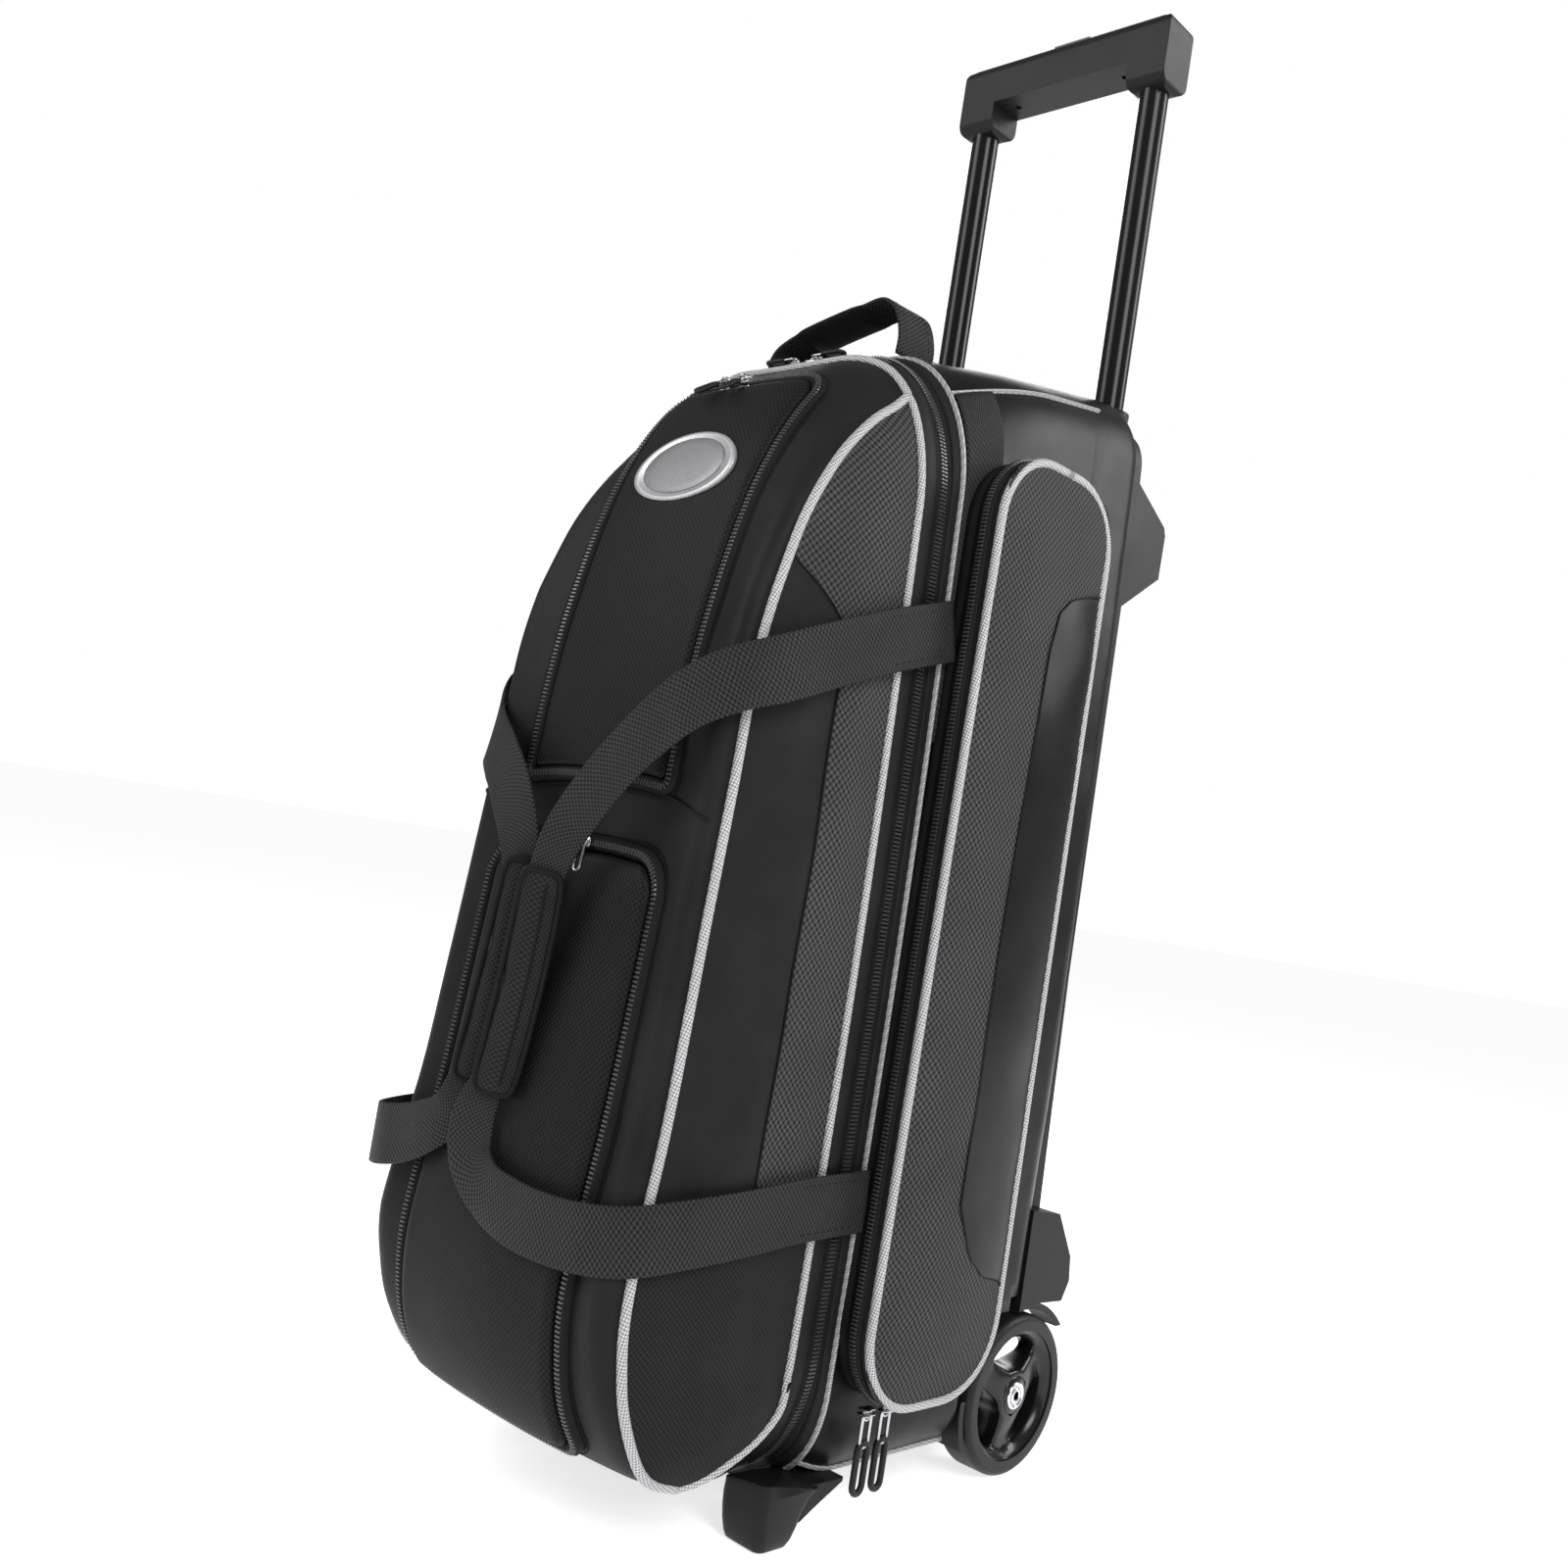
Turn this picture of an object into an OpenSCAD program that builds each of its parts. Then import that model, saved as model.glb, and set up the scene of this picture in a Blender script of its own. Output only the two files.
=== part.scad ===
// Wheeled bag for three bowling balls: a padded fabric body on a moulded back frame, a deep front lid,
// side pockets, carry straps, and a telescopic pull handle. +Z is up along the handle rods, +Y is the back.

/* [Body] */
// Half the width of the fabric body
body_half_w = 126; // [122:1:132]
// Height of the underside of the fabric body above the floor
body_bottom = 26; // [24:1:30]
// Height of the body's top edge at the main zipper
body_top = 738; // [720:1:750]
// Slope of the body's top, rising to the back, in degrees
top_slope = 10.5; // [8:0.5:12]
// Corner radius of the body seen from the front
body_corner = 48; // [40:1:54]
// Distance of the main zipper in front of the origin
zip_front = 64; // [60:1:68]
// Distance of the fabric body's rear face behind the origin
shell_rear = 150.5; // [148:0.5:151]
// Thickness of the padded fabric walls
wall = 3; // [2:0.5:4]

/* [Lid] */
// Distance of the lid's fullest front point in front of the origin
lid_front = 202; // [196:1:206]
// Half the width of the lid at its front edges
lid_front_half_w = 110; // [104:1:114]
// Radius of the lid's long upper front curve
lid_arc_r = 252; // [248:1:256]
// Height of the centre of the upper front curve
lid_arc_z = 540; // [530:1:550]
// Radius of the lid's lower front curve
lid_toe_r = 65; // [58:1:68]
// Radius of the piping cord
piping_r = 2.2; // [1.8:0.1:2.6]

/* [Pockets] */
// Width of a side pocket, front to back
pocket_w = 128; // [118:1:132]
// Height of the side pockets' lower edge
pocket_low = 76; // [72:1:84]
// Height of the side pockets' upper edge
pocket_high = 676; // [640:1:680]
// Corner radius of a side pocket
pocket_corner = 52; // [44:1:58]
// How far a side pocket stands out of the body's side
pocket_depth = 24; // [18:1:26]
// Half the width of the accessory pocket on the lid
accessory_half_w = 74; // [68:1:78]
// Height of the accessory pocket's lower seam
accessory_low = 432; // [428:1:440]
// Half the width of the shoe pocket on the lid
shoe_half_w = 82; // [76:1:88]
// Height of the top of the shoe pocket
shoe_high = 402; // [390:1:408]

/* [Wheels] */
// Tyre radius
tyre_r = 56; // [54:0.5:57]
// Tyre width
tyre_w = 28; // [24:1:28]
// Distance of the wheel axle behind the origin
axle_rear = 160.5; // [158:0.5:162]
// Outer face of the tyre from the middle of the bag
tyre_out = 125; // [124:1:126]
// Radius of the axle bolt
axle_r = 3.96; // [3.92:0.01:3.98]
// Bore radius of the wheel bearings
bearing_bore_r = 4; // [4:0.5:4]
// Outer radius of the wheel bearings
bearing_r = 11; // [10.5:0.5:11.5]

/* [Pull handle] */
// Half the distance between the rods
rod_half_gap = 79.2; // [77:0.2:80]
// Distance of the rods behind the origin
rod_rear = 163.5; // [162:0.5:164]
// Outer radius of a rod
rod_r = 11; // [10.5:0.5:11]
// Height of the rods' tops inside the grip, pulled out
rod_top = 1056; // [1050:1:1060]
// Length of a rod
rod_length = 666; // [650:1:668]
// Height of the grip's top face, pulled out
grip_top = 1080; // [1078:1:1084]
// Travel of the release button
button_travel = 4; // [3:0.5:5]

/* [Straps] */
// Width of the webbing
webbing_w = 38; // [34:1:40]
// Thickness of the webbing
webbing_t = 2.4; // [1.8:0.2:2.6]
// Height where the upper strap ends are sewn in
strap_high = 556; // [546:1:562]
// Height where the lower strap ends are sewn in
strap_low = 206; // [200:1:214]
// Height of the carry handle over the body's top
top_handle_h = 40; // [34:1:64]

/* [Hidden] */
$fn = 64;
gap = 0.4;
tall = 1200;
zip_y = -zip_front;
tape_w = 7.6;
piping_out = 1.8;
piping_in = 2.5;
piping_w = 2 * piping_r;
lid_piping_y = zip_y - 23;
main_piping_y = zip_y + 15;
lid_arc_y = lid_arc_r - 180;
lid_toe_z = body_bottom + 4 + lid_toe_r;
lid_toe_y = lid_toe_r - lid_front;
lid_crown_r = lid_front_half_w * lid_front_half_w / 25 + 6;
divider_y = zip_y - 12;
shelf_z = accessory_low - 5;
frame_half_w = 105;
frame_rear = 180;
tube_r = rod_r + 0.6;
tube_wall = 1.2;
tube_low = 112;
tube_high = 762;
cap_top = 768;
wheel_mid = tyre_out - tyre_w / 2;
rim_r = tyre_r - 11;
guard_r = tyre_r + 4;
guard_in = 90;
pocket_mid_y = main_piping_y + piping_w + 1 + pocket_w / 2;
pocket_out = body_half_w + pocket_depth;
pocket_mid_z = (pocket_low + pocket_high) / 2;
cover_t = 3;
grip_mid_z = grip_top - 18;
button_half_w = 16.5;
button_half_d = 7.5;
handle_y = zip_y + 34;
handle_axis_z = body_top + 27;
strap_x = body_half_w + 6;
strap_start_y = zip_y + 12;
pad_low = 240;
pad_high = 370;
pad_x = 13.6;

// ---- shared forms ----

function unit(v) = v / norm(v);
function path_dir(p, i) = unit(p[min(i + 1, len(p) - 1)] - p[max(i - 1, 0)]);
function path_side(p, i) = [-path_dir(p, i)[1], path_dir(p, i)[0]];
// Outline of a band of width w that follows the points p
function band(p, w) = concat(
  [for (i = [0:len(p) - 1]) p[i] + path_side(p, i) * w / 2],
  [for (i = [len(p) - 1:-1:0]) p[i] - path_side(p, i) * w / 2]
);

// A flat (x, z) outline made into a slab from y0 back to y1
module along_y(y0, y1) {
  translate([0, y1, 0]) rotate([90, 0, 0]) linear_extrude(y1 - y0) children();
}

// A flat (y, z) outline made into a slab from x0 to x1
module along_x(x0, x1) {
  translate([x0, 0, 0]) rotate([90, 0, 90]) linear_extrude(x1 - x0) children();
}

module both_sides() {
  children();
  mirror([1, 0, 0]) children();
}

module left_side() {
  mirror([1, 0, 0]) children();
}

module rounded_rect(w, h, r) {
  square([w - 2 * r, h], center = true);
  square([w, h - 2 * r], center = true);
  for (x = [-1, 1])
    for (z = [-1, 1])
      translate([x * (w / 2 - r), z * (h / 2 - r)]) circle(r);
}

module block(low, high) {
  translate(low) cube(high - low);
}

// The body's outer form between y0 and y1, grown outward by out
module body_form(y0, y1, out = 0) {
  w = 2 * (body_half_w + out);
  r = body_corner + out;
  intersection() {
    along_y(y0, y1)
      translate([0, body_bottom - out + tall / 2]) rounded_rect(w, tall, r);
    translate([0, zip_y, body_top]) rotate([top_slope, 0, 0])
      along_y(-tall, tall) translate([0, out - tall / 2]) rounded_rect(w, tall, r);
  }
}

// Side view of the lid, grown outward by out
module lid_profile(out) {
  back = zip_y + 1;
  intersection() {
    translate([lid_arc_y, lid_arc_z]) circle(lid_arc_r + out, $fn = 128);
    translate([-2 * lid_arc_r, lid_arc_z]) square([2 * lid_arc_r + back, lid_arc_r + 20]);
  }
  polygon([
    [back, lid_arc_z + 0.01],
    [lid_arc_y - lid_arc_r - out, lid_arc_z + 0.01],
    [-lid_front - out, lid_toe_z],
    [back, lid_toe_z]
  ]);
  translate([lid_toe_y, lid_toe_z]) circle(lid_toe_r + out);
  translate([lid_toe_y, lid_toe_z - lid_toe_r - out])
    square([back - lid_toe_y, lid_toe_r + out]);
}

// The lid's form in front of y1, grown outward by out
module lid_form(y1, out = 0) {
  intersection() {
    along_x(-tall / 4, tall / 4) lid_profile(out);
    linear_extrude(tall) intersection() {
      polygon([
        [-body_half_w - out, zip_y + 1],
        [-body_half_w - out, lid_piping_y],
        [-lid_front_half_w - out, -lid_front + 12],
        [-lid_front_half_w - out, -lid_front - 20],
        [lid_front_half_w + out, -lid_front - 20],
        [lid_front_half_w + out, -lid_front + 12],
        [body_half_w + out, lid_piping_y],
        [body_half_w + out, zip_y + 1]
      ]);
      translate([0, lid_crown_r - lid_front]) circle(lid_crown_r + out, $fn = 256);
    }
    body_form(-lid_front - 40, y1, out);
  }
}

// A thin skin over the lid, from inner to outer, where the flat (x, z) outline covers it
module lid_skin(inner, outer) {
  intersection() {
    difference() {
      lid_form(lid_piping_y - piping_r - 1, outer);
      lid_form(lid_piping_y + 5, inner);
    }
    along_y(-lid_front - 30, lid_piping_y) children();
  }
}

module accessory_outline(out) {
  high = body_top - 22;
  translate([0, (accessory_low + high) / 2])
    rounded_rect(2 * (accessory_half_w + out), high - accessory_low + 2 * out, 20 + out);
}

module shoe_outline(out) {
  low = lid_toe_z - 25;
  translate([0, (low + shoe_high) / 2])
    rounded_rect(2 * (shoe_half_w + out), shoe_high - low + 2 * out, 30 + out);
}

// Outline of a side pocket in (y, z), grown outward by out
module pocket_outline(out) {
  translate([pocket_mid_y, pocket_mid_z])
    rounded_rect(pocket_w + 2 * out, pocket_high - pocket_low + 2 * out, pocket_corner + out);
}

// ---- the body's fabric and what stiffens it ----

module wheel_wells(r) {
  both_sides() translate([guard_in - 3, axle_rear, tyre_r]) rotate([0, 90, 0])
    cylinder(r = r, h = 60);
}

module main_piping_ring(out, inset) {
  difference() {
    body_form(main_piping_y - piping_r, main_piping_y + piping_r, out);
    body_form(main_piping_y - tall / 4, main_piping_y + tall / 4, -inset);
  }
}

module edge_pipings() {
  top_x = body_half_w - 31;
  back_y = frame_rear - 68;
  both_sides() intersection() {
    difference() {
      body_form(main_piping_y + piping_r, back_y, piping_out);
      body_form(main_piping_y - 5, back_y + 5, -piping_in);
    }
    union() {
      block([top_x - piping_r, zip_y, 600], [top_x + piping_r, back_y, tall]);
      block([60, zip_y, body_bottom + 8], [tall / 4, axle_rear - guard_r - 8, body_bottom + 8 + piping_w]);
    }
  }
}

module shell_piping() {
  color("silver") {
    main_piping_ring(piping_out + 2, piping_in);
    edge_pipings();
  }
}

module rear_shell() {
  color("dimgray") difference() {
    body_form(zip_y + tape_w + 0.1, shell_rear);
    body_form(zip_y - 5, shell_rear - 1.5, -wall);
    main_piping_ring(piping_out + 4, piping_in);
    edge_pipings();
    wheel_wells(guard_r + 6);
    block([-frame_half_w - 1, frame_rear - 68, body_top - 50], [frame_half_w + 1, frame_rear, tall]);
  }
}

// The padded boards inside the back and the floor
module stiffener_boards() {
  back_t = 2.4;
  color("black") {
    block([-88, shell_rear - 1.5 - back_t, 130], [88, shell_rear - 1.5, body_top - 60]);
    difference() {
      block([-body_half_w + 14, zip_y + 12, body_bottom + wall], [body_half_w - 14, shell_rear - 8, body_bottom + wall + 2]);
      wheel_wells(guard_r + 8);
      cradle_corner_cuts();
    }
  }
}

// What the rounded bottom corners of the body take off a square edge
module cradle_corner_cuts() {
  difference() {
    block([-200, -200, 0], [200, 200, 60]);
    body_form(-300, 300, -wall - 0.2);
  }
}

module ball_cradle() {
  low = body_bottom + wall + 2;
  ball_r = 109;
  color("slategray") difference() {
    block([-86, zip_y + 14, low], [86, shell_rear - 12, low + 18]);
    translate([0, 38, low + 6 + ball_r]) sphere(ball_r);
  }
}

module body_zip_tape() {
  color("black") difference() {
    body_form(zip_y + gap / 2, zip_y + tape_w, 1.5);
    body_form(zip_y - 5, zip_y + tape_w + 5, -wall);
  }
}

// ---- the moulded back, base, feet and wheel guards ----

module frame_side_outline(inset) {
  polygon([
    [shell_rear + 0.2, tube_low + inset],
    [196 - inset, tube_low + inset],
    [206 - inset, 142],
    [204 - inset, 158],
    [188 - inset, 178],
    [frame_rear + 2 - inset, 350],
    [frame_rear - inset, 628 + inset],
    [226 - inset, 660 + inset],
    [227 - inset, 694 - inset],
    [224 - inset, 700 - inset],
    [frame_rear + 1 - inset, 722 - inset],
    [frame_rear - 1 - inset, 752 - inset],
    [frame_rear - 12 - inset, cap_top - inset],
    [shell_rear + 0.2, cap_top - inset]
  ]);
}

module frame_front_outline(inset) {
  high = cap_top - inset;
  low = tube_low + inset;
  translate([0, (high + low) / 2]) rounded_rect(2 * (frame_half_w - inset), high - low, 34 - inset);
}

module frame_screw_places() {
  for (x = [-1, 1])
    for (z = [200, 400, 590])
      translate([x * 40, frame_rear + 2 - (z - 350) * 0.0072, z]) rotate([90, 0, 0]) children();
}

module back_frame() {
  cap_y = frame_rear - 67.8;
  color([0.12, 0.12, 0.13]) difference() {
    union() {
      intersection() {
        along_x(-frame_half_w, frame_half_w) frame_side_outline(0);
        along_y(shell_rear, 240) frame_front_outline(0);
      }
      intersection() {
        along_x(-frame_half_w, frame_half_w) polygon([
          [cap_y, body_top - 49.8],
          [shell_rear + 0.3, body_top - 49.8],
          [shell_rear + 0.3, cap_top],
          [cap_y + 8, cap_top]
        ]);
        along_y(cap_y - 5, shell_rear + 1) frame_front_outline(0);
      }
    }
    difference() {
      intersection() {
        along_x(-frame_half_w, frame_half_w) frame_side_outline(3);
        along_y(shell_rear + 3, 240) frame_front_outline(3);
      }
      frame_screw_places() translate([0, 0, -2]) cylinder(r = 5, h = 22);
    }
    block([10 - frame_half_w, shell_rear - 1, tube_low + 2], [frame_half_w - 10, shell_rear + 4, 701]);
    frame_screw_places() cylinder(r = 2, h = 60, center = true);
    both_sides() translate([rod_half_gap, rod_rear, 700]) cylinder(r = tube_r + tube_wall, h = 100);
    both_sides() translate([rod_half_gap, rod_rear, tube_low - 5]) cylinder(r = tube_r + tube_wall, h = 20);
  }
}

module frame_screws() {
  color("gray") frame_screw_places() {
    translate([0, 0, -2.2]) cylinder(r = 4, h = 2);
    translate([0, 0, -0.4]) cylinder(r = 2, h = 20);
  }
}

module axle_bosses() {
  both_sides() translate([guard_in - 34, axle_rear, tyre_r]) rotate([0, 90, 0])
    cylinder(r = 9.4, h = 32);
}

// The plate under the bag, with the box behind it that holds the axles
module base_tray() {
  plate_low = body_bottom - 10.4;
  plate_high = body_bottom - 0.4;
  box_x = guard_in - 6;
  color([0.1, 0.1, 0.11]) difference() {
    union() {
      translate([0, 0, plate_low]) linear_extrude(plate_high - plate_low)
        translate([0, 48]) rounded_rect(2 * box_x, 206, 12);
      difference() {
        block([-box_x, shell_rear + 0.4, plate_low], [box_x, 182, tube_low - 0.4]);
        block([-box_x + 4, shell_rear + 4, plate_low + 4], [box_x - 4, 178, tube_low]);
      }
      axle_bosses();
    }
    both_sides() translate([guard_in - 40, axle_rear, tyre_r]) rotate([0, 90, 0])
      cylinder(r = axle_r, h = 60);
    both_sides() translate([rod_half_gap, rod_rear, tube_low - 10]) cylinder(r = 10, h = 20);
    block([-tall, main_piping_y - 3, plate_high - 4.5], [tall, main_piping_y + 3, tall]);
  }
}

// One splayed leg on each side, under the front of the body
module front_feet() {
  out_x = 130;
  color([0.1, 0.1, 0.11]) both_sides() {
    along_x(out_x - 36, out_x) polygon([
      [-96, 0], [-62, 0], [-56, 8], [-22, body_bottom - 2],
      [-22, body_bottom - 0.6], [-60, body_bottom - 0.6], [-92, 22]
    ]);
    block([guard_in - 5.8, -46, body_bottom - 10], [out_x - 36, -24, body_bottom - 0.6]);
  }
}

module wheel_guards() {
  color([0.12, 0.12, 0.13]) both_sides() difference() {
    union() {
      translate([guard_in - 2, axle_rear, tyre_r]) rotate([0, 90, 0]) cylinder(r = guard_r + 5, h = 36);
      along_x(frame_half_w + 0.3, guard_in + 34) polygon([
        [shell_rear + 0.5, 120], [204, 118], [211, 132], [208, 150], [186, 182], [shell_rear + 0.5, 186]
      ]);
    }
    translate([guard_in + 1, axle_rear, tyre_r]) rotate([0, 90, 0]) cylinder(r = guard_r, h = 60);
    translate([guard_in - 5, axle_rear, tyre_r]) rotate([0, 90, 0]) cylinder(r = 15, h = 20);
    block([0, axle_rear - 20, -tall], [tall / 4, tall / 4, tyre_r + 44]);
    block([0, 0, -tall], [tall / 4, tall / 4, body_bottom]);
    block([0, shell_rear + 0.2, tyre_r], [frame_half_w + 0.2, tall / 4, tall]);
    body_form(-300, shell_rear + 0.3, 0.1);
  }
}

module axles() {
  color("silver") both_sides() translate([guard_in - 34, axle_rear, tyre_r]) rotate([0, 90, 0]) {
    cylinder(r = axle_r, h = tyre_out - guard_in + 33);
    translate([0, 0, tyre_out - guard_in + 32.4]) cylinder(r = 6.5, h = 1.6);
  }
}

// ---- the handle's rails, rods and grip ----

module rail_tubes() {
  color("gray") both_sides() translate([rod_half_gap, rod_rear, tube_low]) difference() {
    cylinder(r = tube_r + tube_wall, h = tube_high - tube_low);
    translate([0, 0, -1]) cylinder(r = tube_r, h = tube_high - tube_low + 2);
  }
}

module rail_end_plugs() {
  color("black") both_sides() translate([rod_half_gap, rod_rear, tube_low - 8]) {
    cylinder(r = 9.9, h = 9);
    translate([0, 0, 8]) cylinder(r = tube_r, h = 9);
  }
}

module rod_bezels() {
  color("black") both_sides() translate([rod_half_gap, rod_rear, 0]) difference() {
    union() {
      translate([0, 0, cap_top]) cylinder(r = 16, h = 4);
      translate([0, 0, tube_high]) cylinder(r = tube_r + tube_wall, h = cap_top - tube_high);
    }
    translate([0, 0, tube_high - 1]) cylinder(r = rod_r + 0.05, h = 20);
  }
}

module handle_rods() {
  color([0.08, 0.08, 0.09]) both_sides() translate([rod_half_gap, rod_rear, rod_top - rod_length]) difference() {
    cylinder(r = rod_r, h = rod_length);
    translate([0, 0, -1]) cylinder(r = rod_r - 1.4, h = rod_length + 2);
  }
}

module rod_bushings() {
  color("white") both_sides() translate([rod_half_gap, rod_rear, rod_top - rod_length]) {
    translate([0, 0, -10]) cylinder(r = tube_r - 0.05, h = 10);
    cylinder(r = rod_r - 1.4, h = 16);
  }
}

module grip_form() {
  low = grip_top - 58;
  intersection() {
    along_y(rod_rear - 18, rod_rear + 18) {
      translate([0, grip_mid_z]) rounded_rect(184, 36, 12);
      for (x = [-1, 1])
        translate([x * rod_half_gap, (grip_top - 4 + low) / 2]) rounded_rect(33, grip_top - 4 - low, 5);
    }
    along_x(-100, 100) translate([rod_rear, (low + grip_top) / 2])
      rounded_rect(34, grip_top - low, 11);
  }
}

module grip_cavity() {
  block([-24, rod_rear - 9.5, grip_mid_z - 14], [24, rod_rear + 9.5, grip_top - 5]);
}

module grip_lower() {
  color([0.1, 0.1, 0.11]) difference() {
    grip_form();
    grip_cavity();
    block([-100, 100, grip_mid_z], [100, 220, tall]);
    both_sides() translate([rod_half_gap, rod_rear, 0]) cylinder(r = rod_r, h = tall);
    both_sides() translate([50, rod_rear, grip_mid_z - 20]) cylinder(r = 2.6, h = 8);
  }
}

module grip_upper() {
  color([0.1, 0.1, 0.11]) difference() {
    grip_form();
    grip_cavity();
    block([-100, 100, 0], [100, 220, grip_mid_z]);
    both_sides() translate([rod_half_gap, rod_rear, 0]) cylinder(r = rod_r, h = rod_top);
    block(
      [-button_half_w - gap, rod_rear - button_half_d - gap, grip_mid_z],
      [button_half_w + gap, rod_rear + button_half_d + gap, tall]
    );
  }
}

module release_button() {
  flange_top = grip_top - 5 - gap;
  color([0.2, 0.2, 0.2]) {
    block(
      [-button_half_w, rod_rear - button_half_d, flange_top - 2],
      [button_half_w, rod_rear + button_half_d, grip_top + button_travel - 1]
    );
    block([-20, rod_rear - 8.8, flange_top - 2], [20, rod_rear + 8.8, flange_top]);
  }
}

module button_spring() {
  low = grip_mid_z - 14;
  high = grip_top - 7 - 2 * gap;
  wire = 0.7;
  coils = 6;
  color("silver") for (i = [0:coils - 1])
    translate([0, rod_rear, low + wire + i * (high - low - 2 * wire) / (coils - 1)])
      rotate_extrude() translate([5, 0]) circle(wire, $fn = 24);
}

// ---- the wheels ----

module at_wheel() {
  translate([wheel_mid, axle_rear, tyre_r]) rotate([0, 90, 0]) children();
}

module tyre() {
  shoulder = 5;
  color([0.07, 0.07, 0.07]) at_wheel() rotate_extrude($fn = 96) difference() {
    translate([(rim_r + tyre_r) / 2, 0]) union() {
      square([tyre_r - rim_r, tyre_w - 2 * shoulder], center = true);
      translate([-shoulder / 2, 0]) square([tyre_r - rim_r - shoulder, tyre_w], center = true);
      for (s = [-1, 1])
        translate([(tyre_r - rim_r) / 2 - shoulder, s * (tyre_w / 2 - shoulder)]) circle(shoulder);
    }
  }
}

module wheel_core() {
  hub_r = 15;
  color([0.1, 0.1, 0.1]) at_wheel() difference() {
    union() {
      rotate_extrude($fn = 96) translate([rim_r - 6, -tyre_w / 2 + 1]) square([6, tyre_w - 2]);
      cylinder(r = hub_r, h = tyre_w - 4, center = true);
      for (a = [0, 120, 240])
        rotate([0, 0, a]) translate([0, -7, -9]) cube([rim_r - 3, 14, 18]);
      cylinder(r = rim_r - 3, h = 4, center = true);
    }
    cylinder(r = bearing_r, h = tyre_w, center = true);
    for (a = [60, 180, 300])
      rotate([0, 0, a]) translate([27, 0, 0]) cylinder(r = 7.5, h = 20, center = true);
  }
}

module wheel_bearings() {
  color("silver") at_wheel() for (z = [-8, 8])
    translate([0, 0, z]) difference() {
      cylinder(r = bearing_r, h = 7, center = true);
      cylinder(r = bearing_bore_r, h = 8, center = true);
    }
}

module hub_cap() {
  color("silver") at_wheel() translate([0, 0, tyre_w / 2 - 2]) difference() {
    cylinder(r = 14.6, h = 5);
    translate([0, 0, -1]) cylinder(r = 10.8, h = 4.2);
  }
}

// ---- the side pockets ----

module pocket_gusset() {
  color([0.15, 0.15, 0.16]) along_x(body_half_w + 0.1, pocket_out - gap) difference() {
    pocket_outline(0);
    pocket_outline(-2.5);
  }
}

module pocket_cover() {
  color("dimgray") along_x(pocket_out, pocket_out + cover_t) pocket_outline(-1);
}

module pocket_piping() {
  color("silver") along_x(pocket_out, pocket_out + 2 * piping_r) difference() {
    pocket_outline(piping_r);
    pocket_outline(-1);
  }
}

module pocket_slider_places() {
  for (y = [-24, -7])
    translate([pocket_out - 11, y, pocket_low]) children();
}

module pocket_sliders() {
  color("silver") both_sides() difference() {
    pocket_slider_places() block([-4, -3.5, -4], [4, 3.5, 12]);
    along_x(0, pocket_out) pocket_outline(0.1);
    pocket_slider_places() translate([0, 0, -0.4]) rotate([90, 0, 0]) cylinder(r = 1.6, h = 20, center = true);
  }
}

// Ring pulls that hang from the sliders' bars
module pocket_pulls() {
  color([0.12, 0.12, 0.12]) pocket_slider_places() translate([0, 0, -0.4]) {
    rotate([90, 0, 0]) cylinder(r = 1.4, h = 8, center = true);
    difference() {
      block([-1.5, -5, -40], [1.5, 5, -1]);
      block([-3, -2.4, -36], [3, 2.4, -11]);
      block([-3, -3.9, -8], [3, 3.9, 3]);
    }
    for (s = [-1, 1])
      block([-1, s * 4.4 - 0.6, -9], [1, s * 4.4 + 0.6, 0.6]);
  }
}

// ---- the lid ----

module lid_front_piping() {
  both_sides() intersection() {
    difference() {
      lid_form(lid_piping_y - piping_r - 0.1, piping_out);
      lid_form(lid_piping_y + 5, -piping_in);
    }
    block([lid_front_half_w - 5, -tall, 0], [lid_front_half_w - 5 + piping_w, 0, tall]);
  }
}

module lid_rear_piping(out, inset) {
  intersection() {
    difference() {
      lid_form(lid_piping_y + piping_r, out);
      lid_form(lid_piping_y + 8, -inset);
    }
    block([-tall, lid_piping_y - piping_r, 0], [tall, lid_piping_y + piping_r, tall]);
  }
}

module lid_piping() {
  color("silver") {
    lid_front_piping();
    lid_rear_piping(piping_out + 2, piping_in);
  }
}

module lid_shell() {
  color([0.17, 0.17, 0.18]) difference() {
    lid_form(zip_y - tape_w - 0.1);
    lid_form(zip_y + 1, -wall);
    lid_front_piping();
    lid_rear_piping(piping_out + 4, piping_in);
  }
}

module lid_zip_tape() {
  color("black") difference() {
    intersection() {
      body_form(zip_y - tape_w, zip_y - gap / 2, 1.5);
      along_x(-tall / 4, tall / 4) translate([-tall / 2, body_bottom]) square([tall, tall]);
    }
    body_form(zip_y - tape_w - 5, zip_y + 5, -wall);
  }
}

// A padded wall behind the shoes, with a window to each compartment, and the shelf between them
module lid_divider() {
  color([0.22, 0.22, 0.24]) {
    intersection() {
      lid_form(zip_y, -wall - 0.1);
      difference() {
        block([-200, divider_y, 0], [200, divider_y + 3, tall]);
        along_y(divider_y - 5, divider_y + 8) translate([0, 250]) rounded_rect(170, 300, 20);
        along_y(divider_y - 5, divider_y + 8) translate([0, 550]) rounded_rect(170, 180, 20);
      }
    }
    intersection() {
      lid_form(divider_y, -wall - 0.1);
      block([-200, -300, shelf_z], [200, divider_y, shelf_z + 3]);
    }
  }
}

module accessory_pocket() {
  color([0.14, 0.14, 0.15]) lid_skin(0.05, 6) accessory_outline(-9);
}

module accessory_zip() {
  color("black") lid_skin(0.05, 4) difference() {
    accessory_outline(0);
    accessory_outline(-8.9);
  }
}

module shoe_pocket() {
  color([0.14, 0.14, 0.15]) lid_skin(0.05, 8) shoe_outline(-9);
}

module shoe_zip() {
  color("black") lid_skin(0.05, 5) difference() {
    shoe_outline(0);
    shoe_outline(-8.9);
  }
}

module slider_body() {
  color("silver") block([-4, -3, -6], [4, 3, 6]);
}

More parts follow.
